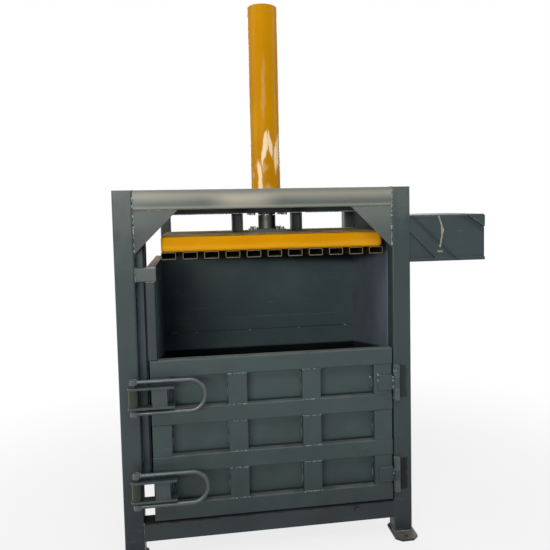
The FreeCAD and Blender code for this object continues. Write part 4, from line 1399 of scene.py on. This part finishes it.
@dataclass
class SideTank(SubAssembly):
    """The closed tank at the right column."""

    coats: ClassVar[dict[Finish, str]] = {
        Finish.TANK_ENAMEL: "side_tank tank_front_ribs",
        Finish.FRAME_ENAMEL: "tank_lid tank_brackets"}
    left: float = 575.0
    right: float = 915.0
    front: float = 12.0
    back: float = 411.4
    rib_front: float = 4.0
    top: float = 1392.0
    bracket_top: float = 1208.4
    bracket_edges: tuple[float, ...] = (131.0, 179.0, 331.0, 379.0)
    corner: tuple[float, float] = (73.0, 48.0)
    # The sealer's lines: X, Z and width of each point.
    streak: tuple[Point, ...] = (
        (708, 1390, 6), (716, 1365, 7), (722, 1345, 9), (725, 1330, 17), (722, 1316, 8), (720, 1296, 7),
        (714, 1266, 8), (712, 1256, 11))
    smear: tuple[Point, ...] = ((718, 1240, 8), (708, 1239, 12), (698, 1241, 7))

    def welds(self) -> list[Weld]:
        """Return the piece of beads."""
        return [Weld("tank_weld_beads", 19, self.seams())]

    def dress(self) -> None:
        """Paint the CAD pieces, lay the welds and run the sealer."""
        super().dress()
        self.paints.finish_piece(self.sealer(), Finish.SEAM_SEALER, "frame", "frame_paint")

    def seams(self) -> list[Seam]:
        """Run the bead down the corner plate's slope, whose pale coat also stands as a painted highlight
        along that edge, and the stitches of lid and arms.

        Returns:
            The bead, the lid's stitches and the arms' seams.
        """
        wide, tall = self.corner
        face, edge = self.rib_front + 0.2, self.right - 2.4
        seams = [Seam((self.right - wide + 4, face, self.top - 2),
                      (self.right - 3, face, self.top - tall + 2), width=3.5, pitch=4.0)]
        for start in (60, 190, 320):
            seams.append(Seam.inward(edge, start, start + 35, self.top - 0.2, width=3.5))
            seams.append(Seam.across(self.left + start - 30, self.left + start + 5, self.back, self.top - 0.5,
                                     width=3.5))
        return seams + [Seam.across(self.left - 1, self.left - 38, y, self.bracket_top, width=3.0)
                        for y in self.bracket_edges]

    def sealer(self) -> bpy.types.Object:
        """Run the sealer down the tank's face and smear it on the diagonal rib.

        Returns:
            The piece.
        """
        chance = random.Random(23)
        mesh = bmesh.new()
        for face, line in ((self.front, self.streak), (self.rib_front, self.smear)):
            for (x0, z0, w0), (x1, z1, w1) in zip(line, line[1:]):
                steps = max(2, round(math.dist((x0, z0), (x1, z1)) / 2.5))
                for share in (index / steps for index in range(steps)):
                    width = (w0 + (w1 - w0) * share) / 2 * chance.uniform(0.85, 1.15)
                    astray = chance.uniform(-0.8, 0.8)
                    spot = at(x0 + (x1 - x0) * share + astray, face, z0 + (z1 - z0) * share)
                    shape = Matrix.Diagonal((width * MM, 1.6 * MM, 3.4 * MM, 1.0))
                    bmesh.ops.create_icosphere(mesh, subdivisions=2, radius=1.0,
                                               matrix=Matrix.Translation(spot) @ shape)
        return object_from("tank_sealer_run", mesh)


# ---------------------------------------------------------------- studio

@dataclass(frozen=True)
class Lamp:
    """One rectangular soft lamp, aimed at a point of the machine."""

    name: str
    place: Point
    width: float
    height: float
    watts: float
    colour: str = "FFFFFF"
    aim: Point = (0.0, 0.0, 1.0)


@dataclass
class Studio:
    """Pale floor, soft lights and the camera, placed in metres in the part's frame.

    The camera's focal length, frame and principal point are in pixels of the picture, its angles in radians.
    """

    camera_place: Point = (-0.4497, -3.0413, 1.448)
    yaw: float = 0.1631
    pitch: float = 0.0728
    roll: float = -0.0188
    focal: float = 648.82
    frame_width: float = 550.0
    sensor: float = 36.0
    clip: tuple[float, float] = (0.05, 100.0)
    principal: tuple[float, float] = (303.82, 252.64)
    floor_half: float = 30.0
    near_white: float = 0.8
    fade: tuple[float, float] = (0.9, 2.8)
    floor_colour: str = "C2C2C0"
    fill_colour: str = "F0F4FA"
    fill: float = 0.18
    lamps: tuple[Lamp, ...] = (
        Lamp("low_front_lamp", (-2.3, -5.2, 1.85), 3.0, 0.6, 125.0, "FFF8EC"),
        Lamp("high_front_lamp", (-0.2, -3.2, 4.8), 3.0, 2.4, 95.0, "F4F8FF"),
        Lamp("left_lamp", (-4.4, -0.6, 2.8), 2.4, 2.4, 70.0),
        Lamp("right_lamp", (4.6, -0.4, 2.8), 2.4, 2.4, 70.0),
        Lamp("back_lamp", (0.5, 4.8, 3.0), 3.0, 2.4, 150.0))

    def build(self) -> None:
        """Set up the floor, world, lamps, camera and view transform."""
        self.floor()
        self.world()
        for lamp in self.lamps:
            self.hang(lamp)
        self.camera()
        bpy.context.scene.view_settings.view_transform = "Standard"

    def seen(self, tree: Tree) -> Value:
        """Tell the rays that look from those that only light.

        Args:
            tree: The floor's or the world's node tree.

        Returns:
            1 for rays from the camera, a reflection or a transmission, and 0 for the light's own.
        """
        path = add_node(tree, "ShaderNodeLightPath").outputs
        looking, mirrored, passed = (
            Value(tree, path[f"Is {ray} Ray"]) for ray in ("Camera", "Glossy", "Transmission"))
        return looking.through(Step.LARGER, mirrored).through(Step.LARGER, passed)

    def floor(self) -> None:
        """Lay a wide pale floor that keeps the machine's shadow and runs out to white."""
        mesh = bmesh.new()
        bmesh.ops.create_grid(mesh, x_segments=1, y_segments=1, size=self.floor_half)
        item = object_from("studio_floor", mesh, smooth=False)
        material = fresh_material("pale_studio_floor")
        tree = material.node_tree
        away = object_place(tree).through(Step.LENGTH)
        share = away.through(Step.RAMP, *self.fade, self.near_white, 1.0) * self.seen(tree)
        paint = add_node(tree, "ShaderNodeBsdfDiffuse", {"Color": linear(self.floor_colour)})
        white = add_node(tree, "ShaderNodeEmission", {"Color": WHITE, "Strength": 1.0})
        mix = add_node(tree, "ShaderNodeMixShader", {
            0: share, 1: paint.outputs["BSDF"], 2: white.outputs["Emission"]})
        add_node(tree, "ShaderNodeOutputMaterial", {"Surface": mix.outputs["Shader"]})
        item.data.materials.append(material)

    def world(self) -> None:
        """Give faint even light from all round and a white background."""
        world = bpy.data.worlds.new("studio_world")
        bpy.context.scene.world = world
        world.use_nodes = True
        tree = world.node_tree
        tree.nodes.clear()
        soft = add_node(tree, "ShaderNodeBackground", {
            "Color": linear(self.fill_colour), "Strength": self.fill})
        white = add_node(tree, "ShaderNodeBackground", {"Color": WHITE, "Strength": 1.0})
        mix = add_node(tree, "ShaderNodeMixShader", {
            0: self.seen(tree), 1: soft.outputs["Background"], 2: white.outputs["Background"]})
        add_node(tree, "ShaderNodeOutputWorld", {"Surface": mix.outputs["Shader"]})

    def hang(self, lamp: Lamp) -> None:
        """Hang one lamp.

        Args:
            lamp: The lamp.
        """
        data = bpy.data.lights.new(lamp.name, "AREA")
        data.shape = "RECTANGLE"
        data.size, data.size_y = lamp.width, lamp.height
        data.energy = lamp.watts
        data.color = linear(lamp.colour)[:3]
        item = bpy.data.objects.new(lamp.name, data)
        item.location = lamp.place
        item.rotation_euler = (Vector(lamp.aim) - Vector(lamp.place)).to_track_quat("-Z", "Y").to_euler()
        bpy.context.scene.collection.objects.link(item)

    def camera(self) -> None:
        """Set the camera at the photograph's place, angle and framing."""
        level = math.cos(self.pitch)
        forward = Vector((math.sin(self.yaw) * level, math.cos(self.yaw) * level, -math.sin(self.pitch)))
        right = Vector((math.cos(self.yaw), -math.sin(self.yaw), 0.0))
        up = right.cross(forward)
        cosine, sine = math.cos(self.roll), math.sin(self.roll)
        right, up = cosine * right + sine * up, cosine * up - sine * right
        data = bpy.data.cameras.new("photo_camera")
        data.sensor_width = self.sensor
        data.lens = self.focal / self.frame_width * data.sensor_width
        data.shift_x = 0.5 - self.principal[0] / self.frame_width
        data.shift_y = self.principal[1] / self.frame_width - 0.5
        data.clip_start, data.clip_end = self.clip
        item = bpy.data.objects.new("photo_camera", data)
        item.matrix_world = Matrix.Translation(self.camera_place) @ Matrix(
            (right, up, -forward)).transposed().to_4x4()
        bpy.context.scene.collection.objects.link(item)
        bpy.context.scene.camera = item


def main() -> None:
    """Dress every sub-assembly and set up the studio."""
    logging.basicConfig(level=logging.INFO, format="%(name)s: %(message)s")
    paints = Paints()
    door = BaleDoor(paints)
    latches = [UHandleLatch(paints, side, level) for side, level in zip(("upper", "lower"), door.latches)]
    assemblies = [WeldedFrame(paints), Chamber(paints), door, *latches, PressingPlate(paints),
                  PressCylinder(paints), SideTank(paints)]
    for assembly in assemblies:
        assembly.dress()
        LOG.info("%s dressed", type(assembly).__name__)
    Studio().build()


if __name__ == "__main__":
    main()
